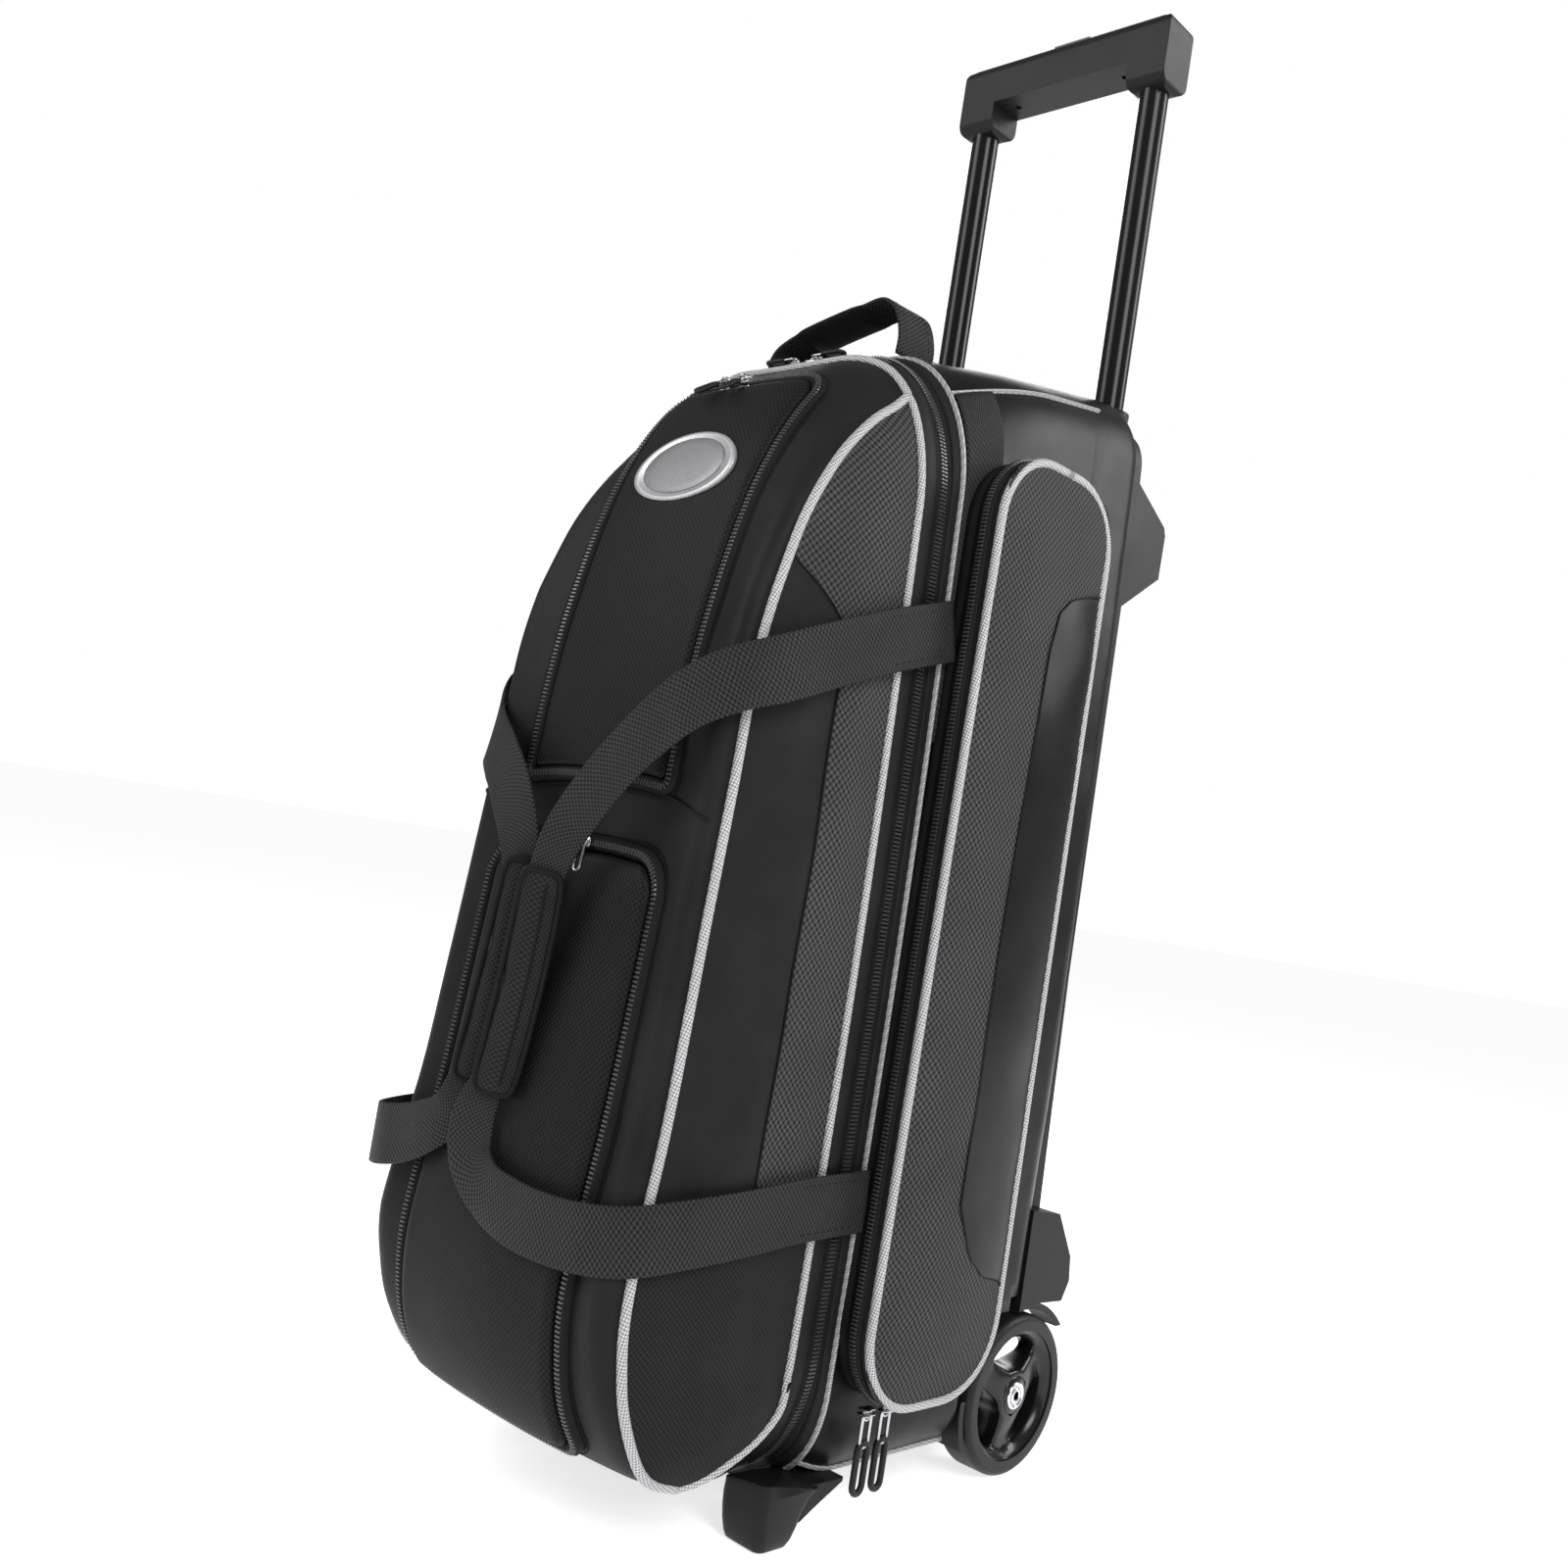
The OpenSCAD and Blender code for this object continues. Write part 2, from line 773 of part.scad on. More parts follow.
// A flat tab that hangs from its bar along X
module pull_tab(length) {
  color("gray") {
    rotate([0, 90, 0]) cylinder(r = 1.1, h = 7, center = true);
    block([-3.5, -0.9, -length], [3.5, 0.9, 0]);
  }
}

// Where the accessory zipper crosses the lid's upper curve, with +Z out of the lid
module accessory_slider_places() {
  lean = 47.3;
  for (x = [-22, -6])
    translate([x, lid_arc_y, lid_arc_z]) rotate([lean, 0, 0]) translate([0, 0, lid_arc_r + 4]) children();
}

module accessory_sliders() {
  color("silver") accessory_slider_places() block([-4, -2, 0.1], [4, 6, 3]);
}

module accessory_pulls() {
  accessory_slider_places() translate([0, -0.5, 4.6]) rotate([-90, 0, 0]) pull_tab(22);
}

module shoe_slider_places() {
  for (x = [-8, 8])
    translate([x, -lid_front - 0.6, shoe_high - 6]) children();
}

module shoe_sliders() {
  shoe_slider_places() slider_body();
}

module shoe_pulls() {
  shoe_slider_places() translate([0, -5, 0]) pull_tab(18);
}

// A plain oval plate on the upper pocket
module badge() {
  color("lightgray") intersection() {
    lid_skin(6.1, 7.4) accessory_outline(-12);
    translate([0, 0, 632]) along_y(-300, 0) intersection() {
      translate([0, 22]) circle(48);
      translate([0, -22]) circle(48);
    }
  }
}

module main_slider(x) {
  color("silver") translate([x, zip_y, body_top + 2.4]) {
    block([-6, -4, 0], [6, 4, 3]);
    for (s = [-1, 1])
      block([-5, s * 3.4 - 0.6, 3], [5, s * 3.4 + 0.6, 6]);
  }
}

module main_pull(x, side) {
  color("gray") translate([x, zip_y, body_top + 7]) {
    rotate([90, 0, 0]) cylinder(r = 1, h = 5.2, center = true);
    block([min(0, side * 26), -2.6, -0.9], [max(0, side * 26), 2.6, 0.9]);
  }
}

// ---- the webbing ----

// One carry strap on the right: sewn in behind the main zipper, round the lid's front edge to the pad
module strap_solid() {
  front_y = -lid_front - 14;
  plan = [
    [strap_x + webbing_t / 2, strap_start_y],
    [strap_x + webbing_t / 2, -100],
    [lid_front_half_w + 20, -150],
    [lid_front_half_w + 15, -182],
    [lid_front_half_w + 2, -204],
    [lid_front_half_w - 18, front_y],
    [60, front_y - 3],
    [pad_x - 12.4, front_y - 4]
  ];
  upper_side = [[0, strap_high + 24], [-52, strap_high], [-100, strap_high - 28], [-240, strap_high - 96]];
  lower_side = [[0, strap_low], [-100, strap_low - 4], [-240, strap_low - 14]];
  upper_front = [[150, 500], [118, 484], [60, 456], [30, 432], [16, 402], [pad_x, 360]];
  lower_front = [[150, 198], [118, 194], [60, 182], [34, 190], [18, 210], [pad_x, 250]];
  intersection() {
    linear_extrude(tall) polygon(band(plan, webbing_t));
    union() {
      along_y(-300, -198) intersection() {
        union() {
          polygon(band(upper_front, webbing_w));
          polygon(band(lower_front, webbing_w));
          translate([pad_x - 10, pad_low - 20]) square([20, pad_high - pad_low + 40]);
        }
        translate([1, 0]) square([200, tall]);
      }
      along_x(lid_front_half_w + 1, 200) {
        polygon(band(upper_side, webbing_w));
        polygon(band(lower_side, webbing_w));
      }
    }
  }
}

module strap() {
  color([0.13, 0.13, 0.13]) strap_solid();
}

module grip_pad() {
  color([0.16, 0.16, 0.17]) difference() {
    intersection() {
      along_y(-lid_front - 25.4, -lid_front - 10.4)
        translate([pad_x, (pad_low + pad_high) / 2]) rounded_rect(25, pad_high - pad_low, 10);
      linear_extrude(tall) translate([pad_x, -lid_front - 17.9]) rounded_rect(25, 15, 6);
    }
    strap_solid();
  }
}

module top_handle() {
  w = 124;
  foot_r = webbing_w / 2;
  low = handle_axis_z - foot_r;
  high = body_top + top_handle_h + 8;
  color([0.13, 0.13, 0.13]) intersection() {
    along_y(handle_y - foot_r, handle_y + foot_r) difference() {
      translate([0, high - 60]) rounded_rect(w, 120, 30);
      translate([0, high - 60]) rounded_rect(w - 2 * webbing_t, 120 - 2 * webbing_t, 30 - webbing_t);
      translate([-100, low - 100]) square([200, 100]);
    }
    along_x(-80, 80) {
      translate([handle_y, handle_axis_z]) circle(foot_r);
      translate([handle_y - foot_r, handle_axis_z]) square([2 * foot_r, 100]);
    }
  }
}

rear_shell();
shell_piping();
body_zip_tape();
stiffener_boards();
ball_cradle();
back_frame();
frame_screws();
base_tray();
front_feet();
wheel_guards();
axles();
rail_tubes();
rail_end_plugs();
rod_bezels();
left_side() pocket_gusset();  // pocket_gusset_left
pocket_gusset();  // pocket_gusset_right
pocket_sliders();
lid_shell();
lid_piping();
lid_zip_tape();
lid_divider();
accessory_pocket();
accessory_zip();
accessory_sliders();
accessory_pulls();
shoe_pocket();
shoe_zip();
shoe_sliders();
shoe_pulls();
badge();
main_slider(-28);  // main_slider_left
main_slider(-10);  // main_slider_right
main_pull(-28, -1);  // main_pull_left
main_pull(-10, 1);  // main_pull_right
left_side() pocket_cover();  // pocket_cover_left
pocket_cover();  // pocket_cover_right
left_side() pocket_piping();  // pocket_piping_left
pocket_piping();  // pocket_piping_right
left_side() pocket_pulls();  // pocket_pulls_left
pocket_pulls();  // pocket_pulls_right
left_side() strap();  // strap_left
strap();  // strap_right
left_side() grip_pad();  // grip_pad_left
grip_pad();  // grip_pad_right
top_handle();
left_side() tyre();  // tyre_left
tyre();  // tyre_right
left_side() wheel_core();  // wheel_core_left
wheel_core();  // wheel_core_right
left_side() wheel_bearings();  // wheel_bearings_left
wheel_bearings();  // wheel_bearings_right
left_side() hub_cap();  // hub_cap_left
hub_cap();  // hub_cap_right
handle_rods();
rod_bushings();
grip_lower();
grip_upper();
release_button();
button_spring();
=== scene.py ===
import math

import bmesh
import bpy
import numpy as np
from mathutils import Matrix, Vector, noise


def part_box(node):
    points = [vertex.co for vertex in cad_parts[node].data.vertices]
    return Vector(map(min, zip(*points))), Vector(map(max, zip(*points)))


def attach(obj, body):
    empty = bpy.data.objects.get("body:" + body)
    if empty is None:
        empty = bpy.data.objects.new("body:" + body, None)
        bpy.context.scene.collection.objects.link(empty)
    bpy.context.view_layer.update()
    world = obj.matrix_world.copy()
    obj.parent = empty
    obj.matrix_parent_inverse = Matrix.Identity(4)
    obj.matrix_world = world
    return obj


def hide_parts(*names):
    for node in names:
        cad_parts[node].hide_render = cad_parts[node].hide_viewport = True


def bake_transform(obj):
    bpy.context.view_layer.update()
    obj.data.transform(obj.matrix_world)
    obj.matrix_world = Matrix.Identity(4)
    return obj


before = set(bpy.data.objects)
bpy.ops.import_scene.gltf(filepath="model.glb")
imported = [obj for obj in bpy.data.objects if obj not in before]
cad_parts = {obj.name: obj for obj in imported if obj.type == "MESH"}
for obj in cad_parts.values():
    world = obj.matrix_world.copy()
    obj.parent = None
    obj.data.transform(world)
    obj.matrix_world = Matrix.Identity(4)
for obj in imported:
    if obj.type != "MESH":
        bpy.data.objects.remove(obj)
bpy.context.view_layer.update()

# ---- places taken from the frame ----

BOX = {name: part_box(name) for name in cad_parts}


def low(node, axis):
    return BOX[node][0]["xyz".index(axis)]


def high(node, axis):
    return BOX[node][1]["xyz".index(axis)]


def middle(node, axis):
    return (low(node, axis) + high(node, axis)) / 2


MM = 0.001
HALF_W = high("rear_shell", "x")
ZIP_Y = (low("body_zip_tape", "y") + high("lid_zip_tape", "y")) / 2
TAPE_FRONT = low("lid_zip_tape", "y")
TAPE_BACK = high("body_zip_tape", "y")
SHELL_BACK = high("rear_shell", "y")
BODY_LOW = low("rear_shell", "z")
SLOPE = math.tan(math.radians(10.5))    # the body's top rises towards the back
BODY_TOP = high("body_zip_tape", "z") - 1.5 * MM - SLOPE * (TAPE_BACK - ZIP_Y)
LID_PIPING_Y = ZIP_Y - 23 * MM
MAIN_PIPING_Y = ZIP_Y + 15 * MM
AXLE_Y = middle("tyre_right", "y")
AXLE_Z = middle("tyre_right", "z")
SIDES = (("right", 1), ("left", -1))


def body_top(y):
    return BODY_TOP + SLOPE * (y - ZIP_Y)


# ---- mesh tools ----

def make(name, verts, faces, uvs=None, smooth=True):
    """A mesh object from arrays of points and faces, with uvs given for each point."""
    mesh = bpy.data.meshes.new(name)
    mesh.from_pydata([tuple(v) for v in verts], [], [tuple(int(i) for i in f) for f in faces])
    if uvs is not None:
        layer = mesh.uv_layers.new(name="cloth")
        loop_points = np.zeros(len(mesh.loops), np.int32)
        mesh.loops.foreach_get("vertex_index", loop_points)
        layer.data.foreach_set("uv", np.asarray(uvs, np.float32)[loop_points].ravel())
    mesh.polygons.foreach_set("use_smooth", [smooth] * len(mesh.polygons))
    mesh.update()
    obj = bpy.data.objects.new(name, mesh)
    bpy.context.scene.collection.objects.link(obj)
    return obj


def grid_faces(rows, cols, close_cols=False, flip=False):
    """Quads of a grid of points numbered row by row."""
    faces = []
    for i in range(rows - 1):
        for j in range(cols if close_cols else cols - 1):
            k = (j + 1) % cols
            quad = (i * cols + j, i * cols + k, (i + 1) * cols + k, (i + 1) * cols + j)
            faces.append(quad[::-1] if flip else quad)
    return faces


def unit(vectors):
    """The vectors, each with length 1."""
    return vectors / np.maximum(np.linalg.norm(vectors, axis=-1, keepdims=True), 1e-9)


def lengths(path):
    """Distance along a path to each of its points."""
    return np.concatenate([[0], np.cumsum(np.linalg.norm(np.diff(path, axis=0), axis=1))])


def columns(at, keys, table):
    """Each column of a table, interpolated at the given places."""
    table = np.asarray(table, float)
    return np.stack([np.interp(at, keys, table[:, k]) for k in range(table.shape[1])], axis=1)


def arc(centre, radii, start, end, count):
    """Points on part of an ellipse, between two angles in degrees."""
    return [(centre[0] + radii[0] * math.cos(t), centre[1] + radii[1] * math.sin(t))
            for t in np.radians(np.linspace(start, end, count))]


def grid_normals(points):
    """Unit normals of a rows x cols x 3 array of points."""
    return unit(np.cross(np.gradient(points, axis=1), np.gradient(points, axis=0)))


def grid_uv(points):
    """Lengths along the rows and columns, in metres, so that a weave keeps its scale."""
    across = np.linalg.norm(np.diff(points, axis=1), axis=2)
    along = np.linalg.norm(np.diff(points, axis=0), axis=2).mean(axis=1)
    u = np.concatenate([np.zeros((points.shape[0], 1)), np.cumsum(across, axis=1)], axis=1)
    v = np.concatenate([[0], np.cumsum(along)])[:, None] + 0 * u
    u -= u[:, points.shape[1] // 2][:, None]
    return np.stack([u, v], axis=2)


def cloth_panel(name, points, thickness, outward):
    """A sheet of the given grid of points, made solid away from its outer side.

    Sheets that face sideways take their weave straight from y and z, as cloth cut flat does.
    """
    points = np.asarray(points, float)
    rows, cols = points.shape[:2]
    row, col = rows // 2, cols // 2
    normal = grid_normals(points)
    if np.dot(normal[row, col], outward) < 0:
        normal = -normal
    inner = points - normal * thickness
    uv = (points[..., 1:] if abs(outward[0]) > 0.9 else grid_uv(points)).reshape(-1, 2)
    count = rows * cols
    facing = np.cross(points[row, col + 1] - points[row, col], points[row + 1, col] - points[row, col])
    flip = np.dot(facing, normal[row, col]) < 0
    faces = grid_faces(rows, cols, flip=flip)
    faces += [tuple(i + count for i in f[::-1]) for f in faces]
    rim = list(range(cols)) + [i * cols + cols - 1 for i in range(1, rows)]
    rim += [(rows - 1) * cols + j for j in range(cols - 2, -1, -1)]
    rim += [i * cols for i in range(rows - 2, 0, -1)]
    for a, b in zip(rim, rim[1:] + rim[:1]):
        side = (a, a + count, b + count, b)
        faces.append(side[::-1] if flip else side)
    verts = np.concatenate([points.reshape(-1, 3), inner.reshape(-1, 3)])
    return make(name, verts, faces, np.concatenate([uv, uv]))


def resample(path, count=None, step=None):
    """The path with points evenly spaced along it."""
    path = np.asarray(path, float)
    length = lengths(path)
    if count is None:
        count = max(2, int(round(length[-1] / step)) + 1)
    return columns(np.linspace(0, length[-1], count), length, path)


def resample_loop(loop, count=None, step=None):
    """A closed loop with its points evenly spaced."""
    loop = np.asarray(loop, float)
    return resample(np.concatenate([loop, loop[:1]]), count and count + 1, step)[:-1]


def smooth_path(points, step=2 * MM):
    """A smooth curve through the points (Catmull-Rom), evenly resampled."""
    p = np.asarray(points, float)
    p = np.concatenate([2 * p[:1] - p[1:2], p, 2 * p[-1:] - p[-2:-1]])
    out = []
    for i in range(1, len(p) - 2):
        for t in np.linspace(0, 1, 16, endpoint=False):
            out.append(0.5 * (2 * p[i] + (p[i + 1] - p[i - 1]) * t
                              + (2 * p[i - 1] - 5 * p[i] + 4 * p[i + 1] - p[i + 2]) * t ** 2
                              + (3 * p[i] - p[i - 1] - 3 * p[i + 1] + p[i + 2]) * t ** 3))
    out.append(p[-2])
    return resample(out, step=step)


def directions(path, closed=False):
    """The way forward at each point of a path."""
    path = np.asarray(path, float)
    if closed:
        return unit(np.roll(path, -1, axis=0) - np.roll(path, 1, axis=0))
    return unit(np.gradient(path, axis=0))


def sweep(name, path, outline, across, closed=False):
    """An outline swept along a path. across gives the outline's first axis at each point."""
    path = np.asarray(path, float)
    d = directions(path, closed)
    a = np.broadcast_to(np.asarray(across, float), path.shape)
    a = unit(a - d * np.sum(a * d, axis=1, keepdims=True))
    b = np.cross(d, a)
    outline = np.asarray(outline, float)
    if outline.ndim == 2:
        outline = np.repeat(outline[None], len(path), axis=0)
    verts = path[:, None] + a[:, None] * outline[:, :, 0:1] + b[:, None] * outline[:, :, 1:2]
    rows, cols = verts.shape[:2]
    girth = np.linalg.norm(np.roll(outline[0], -1, axis=0) - outline[0], axis=1)
    girth = np.concatenate([[0], np.cumsum(girth)[:-1]])
    uv = np.stack(np.meshgrid(girth, lengths(path)), axis=2).reshape(-1, 2)
    faces = grid_faces(rows, cols, close_cols=True)
    last = (rows - 1) * cols
    if closed:
        faces += [(last + j, last + (j + 1) % cols, (j + 1) % cols, j) for j in range(cols)]
    else:
        faces += [tuple(range(cols - 1, -1, -1)), tuple(last + j for j in range(cols))]
    return fix_normals(make(name, verts.reshape(-1, 3), faces, uv))


def fix_normals(obj, caps=(), weld=0.0):
    """Turns a mesh's faces outwards, once its open ends are capped and its points welded."""
    work = bmesh.new()
    work.from_mesh(obj.data)
    work.verts.ensure_lookup_table()
    for loop in caps:
        work.faces.new([work.verts[j] for j in loop])
    if weld:
        bmesh.ops.remove_doubles(work, verts=work.verts, dist=weld)
    bmesh.ops.recalc_face_normals(work, faces=work.faces)
    work.to_mesh(obj.data)
    work.free()
    obj.data.update()
    return obj


def circle(radius, sides=10):
    t = np.linspace(0, 2 * math.pi, sides, endpoint=False)
    return np.stack([radius * np.cos(t), radius * np.sin(t)], axis=1)


def strip_outline(width, thickness):
    """Cross-section of a flat strap with rounded edges."""
    r = thickness / 2
    flat = width / 2 - r
    across = np.linspace(-flat, flat, 7)
    return np.array([(x, -r) for x in across] + arc((flat, 0), (r, r), -90, 90, 5)[1:-1]
                    + [(x, r) for x in across[::-1]] + arc((-flat, 0), (r, r), 90, 270, 5)[1:-1])


def mirrored(obj, name):
    """A copy of obj on the left side of the bag."""
    copy = obj.copy()
    copy.data = obj.data.copy()
    copy.name = name
    copy.data.transform(Matrix.Scale(-1, 4, (1, 0, 0)))
    copy.data.flip_normals()
    bpy.context.scene.collection.objects.link(copy)
    return copy


def join(name, objects):
    """One object from several, keeping their uvs."""
    work = bmesh.new()
    for o in objects:
        work.from_mesh(o.data)
    mesh = bpy.data.meshes.new(name)
    work.to_mesh(mesh)
    work.free()
    mesh.polygons.foreach_set("use_smooth", [True] * len(mesh.polygons))
    for o in objects:
        bpy.data.objects.remove(o)
    obj = bpy.data.objects.new(name, mesh)
    bpy.context.scene.collection.objects.link(obj)
    return obj


def soft_noise(points, size, seed):
    """Smooth noise from -1 to 1 at each point."""
    flat = np.asarray(points, float).reshape(-1, 3) / size
    shift = Vector((seed * 7.3, seed * 3.1, seed * 5.7))
    values = [noise.noise(Vector(p) + shift) for p in flat]
    return np.array(values).reshape(np.asarray(points).shape[:-1])


# ---- finishes ----

def finish(name, dark, light, rough, pattern="grain", pitch=2 * MM, bump=0.3 * MM, metallic=0.0,
           patch=0.12, wrinkle=0.0, fold=0.03, **sockets):
    """A procedural finish: a pattern between two greys, with soft patches and a little relief."""
    mat = bpy.data.materials.new(name)
    mat.use_nodes = True
    tree = mat.node_tree
    shader = tree.nodes["Principled BSDF"]

    def node(kind, **values):
        made = tree.nodes.new("ShaderNode" + kind)
        for key, value in values.items():
            setattr(made, key, value)
        return made

    def plug(source, target):
        tree.links.new(source, target)

    def sums(operation, a, b=None):
        made = node("Math", operation=operation)
        for socket, value in zip(made.inputs, (a, b)):
            if value is None:
                continue
            if isinstance(value, (int, float)):
                socket.default_value = value
            else:
                plug(value, socket)
        return made.outputs[0]

    place = node("TexCoord").outputs["Object"]

    def cloud(size, detail=3.0):
        made = node("TexNoise")
        made.inputs["Scale"].default_value = 1 / size
        made.inputs["Detail"].default_value = detail
        plug(place, made.inputs["Vector"])
        return made.outputs[0]

    if pattern in ("weave", "webbing", "braid", "twill"):
        uv = node("UVMap", uv_map="cloth")
        parts = node("SeparateXYZ")
        plug(uv.outputs[0], parts.inputs[0])
        drift = sums("MULTIPLY", sums("SUBTRACT", cloud(pitch * 4, 1.0), 0.5), pitch * 0.5)
        u, v = sums("ADD", parts.outputs[0], drift), sums("ADD", parts.outputs[1], drift)
        turn = 2 * math.pi / pitch
        if pattern == "webbing":
            one, two = sums("MULTIPLY", u, turn), sums("MULTIPLY", v, turn * 1.45)
        elif pattern == "weave":
            one, two = sums("MULTIPLY", u, turn), sums("MULTIPLY", v, turn * 0.9)
        else:
            slant = 0.55 if pattern == "braid" else 0.3
            one = sums("MULTIPLY", sums("ADD", u, sums("MULTIPLY", v, slant)), turn)
            two = sums("MULTIPLY", sums("SUBTRACT", v, sums("MULTIPLY", u, slant)), turn)
        wave = sums("MULTIPLY", sums("SINE", one), sums("SINE", two))
        height = sums("ADD", sums("MULTIPLY", wave, 0.5), 0.5)
    elif pattern == "brushed":
        stretch = node("Mapping")
        stretch.inputs["Scale"].default_value = (1, 1, 30)
        plug(place, stretch.inputs["Vector"])
        lines = node("TexNoise")
        lines.inputs["Scale"].default_value = 1 / pitch / 10
        plug(stretch.outputs[0], lines.inputs["Vector"])
        height = lines.outputs[0]
    else:
        height = cloud(pitch, 2.0)

    tint = node("Mix", data_type="RGBA")
    tint.inputs["A"].default_value = (dark, dark, dark * 1.03, 1)
    tint.inputs["B"].default_value = (light, light, light * 1.03, 1)
    plug(height, tint.inputs["Factor"])
    worn = node("MixRGB", blend_type="MULTIPLY")
    worn.inputs[0].default_value = 1.0
    shade = node("MapRange")
    shade.inputs["From Min"].default_value = 0.3
    shade.inputs["From Max"].default_value = 0.7
    shade.inputs["To Min"].default_value = 1 - patch
    shade.inputs["To Max"].default_value = 1 + patch
    patches = cloud(50 * MM)
    plug(patches, shade.inputs["Value"])
    plug(tint.outputs["Result"], worn.inputs[1])
    plug(shade.outputs[0], worn.inputs[2])
    plug(worn.outputs[0], shader.inputs["Base Color"])

    gloss = node("MapRange")
    gloss.inputs["To Min"].default_value = max(rough - 0.07, 0.03)
    gloss.inputs["To Max"].default_value = min(rough + 0.07, 1.0)
    plug(patches, gloss.inputs["Value"])
    plug(gloss.outputs[0], shader.inputs["Roughness"])

    relief = node("Bump")
    relief.inputs["Distance"].default_value = bump
    relief.inputs["Strength"].default_value = 0.8
    plug(height, relief.inputs["Height"])
    if wrinkle:
        folds = node("Bump")
        folds.inputs["Distance"].default_value = wrinkle
        folds.inputs["Strength"].default_value = 0.7
        plug(cloud(fold, 1.0), folds.inputs["Height"])
        plug(folds.outputs[0], relief.inputs["Normal"])
    plug(relief.outputs[0], shader.inputs["Normal"])
    shader.inputs["Metallic"].default_value = metallic
    for key, value in sockets.items():
        shader.inputs[key.replace("_", " ")].default_value = value
    return mat


CLOTH = {"Specular_IOR_Level": 0.09}
BALLISTIC = finish("ballistic_nylon", 0.003, 0.070, 0.6, "weave", 4.3 * MM, 0.5 * MM, **CLOTH)
FINE_WEAVE = finish("fine_weave", 0.004, 0.020, 0.62, "weave", 3.1 * MM, 0.2 * MM, wrinkle=0.6 * MM, **CLOTH)
FINE_WEAVE_BIG = finish("pocket_weave", 0.003, 0.016, 0.52, "weave", 3.5 * MM, 0.15 * MM, wrinkle=0.8 * MM,
                        fold=0.05, **CLOTH)
PLAIN_PAD = finish("grip_cloth", 0.004, 0.028, 0.55, "weave", 3.0 * MM, 0.3 * MM, wrinkle=0.9 * MM, fold=0.018,
                   **CLOTH)
PLAIN = finish("plain_nylon", 0.008, 0.017, 0.5, "twill", 1.4 * MM, 0.08 * MM, wrinkle=1.4 * MM, patch=0.2,
               **CLOTH)
GLOSSY = finish("coated_inset", 0.003, 0.006, 0.28, "twill", 1.4 * MM, 0.03 * MM, wrinkle=1.6 * MM, fold=0.06,
                Specular_IOR_Level=0.12)
COATED = finish("coated_nylon", 0.004, 0.008, 0.33, "twill", 1.4 * MM, 0.05 * MM, wrinkle=3.2 * MM, fold=0.05,
                Specular_IOR_Level=0.12)
LINING = finish("lining", 0.05, 0.08, 0.7, "twill", 1.4 * MM, 0.1 * MM, wrinkle=0.8 * MM, **CLOTH)
WEBBING = finish("webbing", 0.003, 0.042, 0.5, "webbing", 4.4 * MM, 0.7 * MM, **CLOTH)
TAPE = finish("zip_tape", 0.006, 0.014, 0.65, "twill", 1.4 * MM, 0.15 * MM, **CLOTH)
SILVER = finish("silver_braid", 0.09, 0.64, 0.42, "braid", 3.0 * MM, 0.5 * MM, metallic=0.1, patch=0.06)
TEETH = finish("zip_coil", 0.03, 0.06, 0.3, "grain", 3 * MM, 0.05 * MM)
NICKEL = finish("nickel", 0.42, 0.60, 0.25, "brushed", 2 * MM, 0.02 * MM, metallic=1.0)
CHROME = finish("chrome", 0.60, 0.78, 0.16, "brushed", 3 * MM, 0.01 * MM, metallic=1.0, patch=0.03)
PLASTIC = finish("moulded_plastic", 0.006, 0.011, 0.42, "grain", 0.9 * MM, 0.12 * MM, patch=0.15,
                 Specular_IOR_Level=0.16)
GLOSS_PLASTIC = finish("gloss_plastic", 0.004, 0.007, 0.24, "grain", 2 * MM, 0.03 * MM, patch=0.1,
                       Specular_IOR_Level=0.35)
ROD_PAINT = finish("rod_paint", 0.004, 0.007, 0.2, "brushed", 3 * MM, 0.01 * MM, patch=0.08,
                   Specular_IOR_Level=0.2)
RUBBER = finish("rubber", 0.010, 0.018, 0.45, "grain", 1.4 * MM, 0.15 * MM, patch=0.2, Specular_IOR_Level=0.2)
STEEL = finish("zinc_steel", 0.32, 0.5, 0.35, "grain", 1.5 * MM, 0.03 * MM, metallic=1.0)
FOAM = finish("cradle_foam", 0.05, 0.09, 0.85, "grain", 1.5 * MM, 0.4 * MM)
BOARD = finish("fibre_board", 0.03, 0.05, 0.7, "grain", 1.2 * MM, 0.1 * MM)
PALE_PLATE = finish("badge_metal", 0.36, 0.48, 0.36, "grain", 2 * MM, 0.03 * MM, metallic=0.5, patch=0.06)
DARK_PLATE = finish("badge_field", 0.16, 0.24, 0.42, "grain", 2 * MM, 0.03 * MM, metallic=0.5, patch=0.06)

CAD_FINISH = {
    "stiffener_boards": BOARD, "ball_cradle": FOAM, "back_frame": PLASTIC, "frame_screws": STEEL,
    "base_tray": PLASTIC, "wheel_guards": PLASTIC, "axles": STEEL,
    "rail_tubes": STEEL, "rail_end_plugs": PLASTIC, "rod_bezels": PLASTIC,
    "tyre_left": RUBBER, "tyre_right": RUBBER, "wheel_bearings_left": STEEL, "wheel_bearings_right": STEEL,
    "handle_rods": ROD_PAINT,
    "rod_bushings": PLASTIC, "grip_lower": PLASTIC, "grip_upper": PLASTIC,
    "release_button": GLOSS_PLASTIC, "button_spring": STEEL,
}


def paint_cad():
    for name, mat in CAD_FINISH.items():
        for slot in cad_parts[name].material_slots:
            slot.material = mat


def dress(obj, mats, body, slot, *nodes):
    """Gives a piece its finishes and its body if it rides one, and hides the nodes it stands for. Its slot is not used.
    """
    for mat in mats if isinstance(mats, (list, tuple)) else [mats]:
        obj.data.materials.append(mat)
    if nodes:
        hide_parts(*nodes)
    if body:
        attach(obj, body)
    return obj


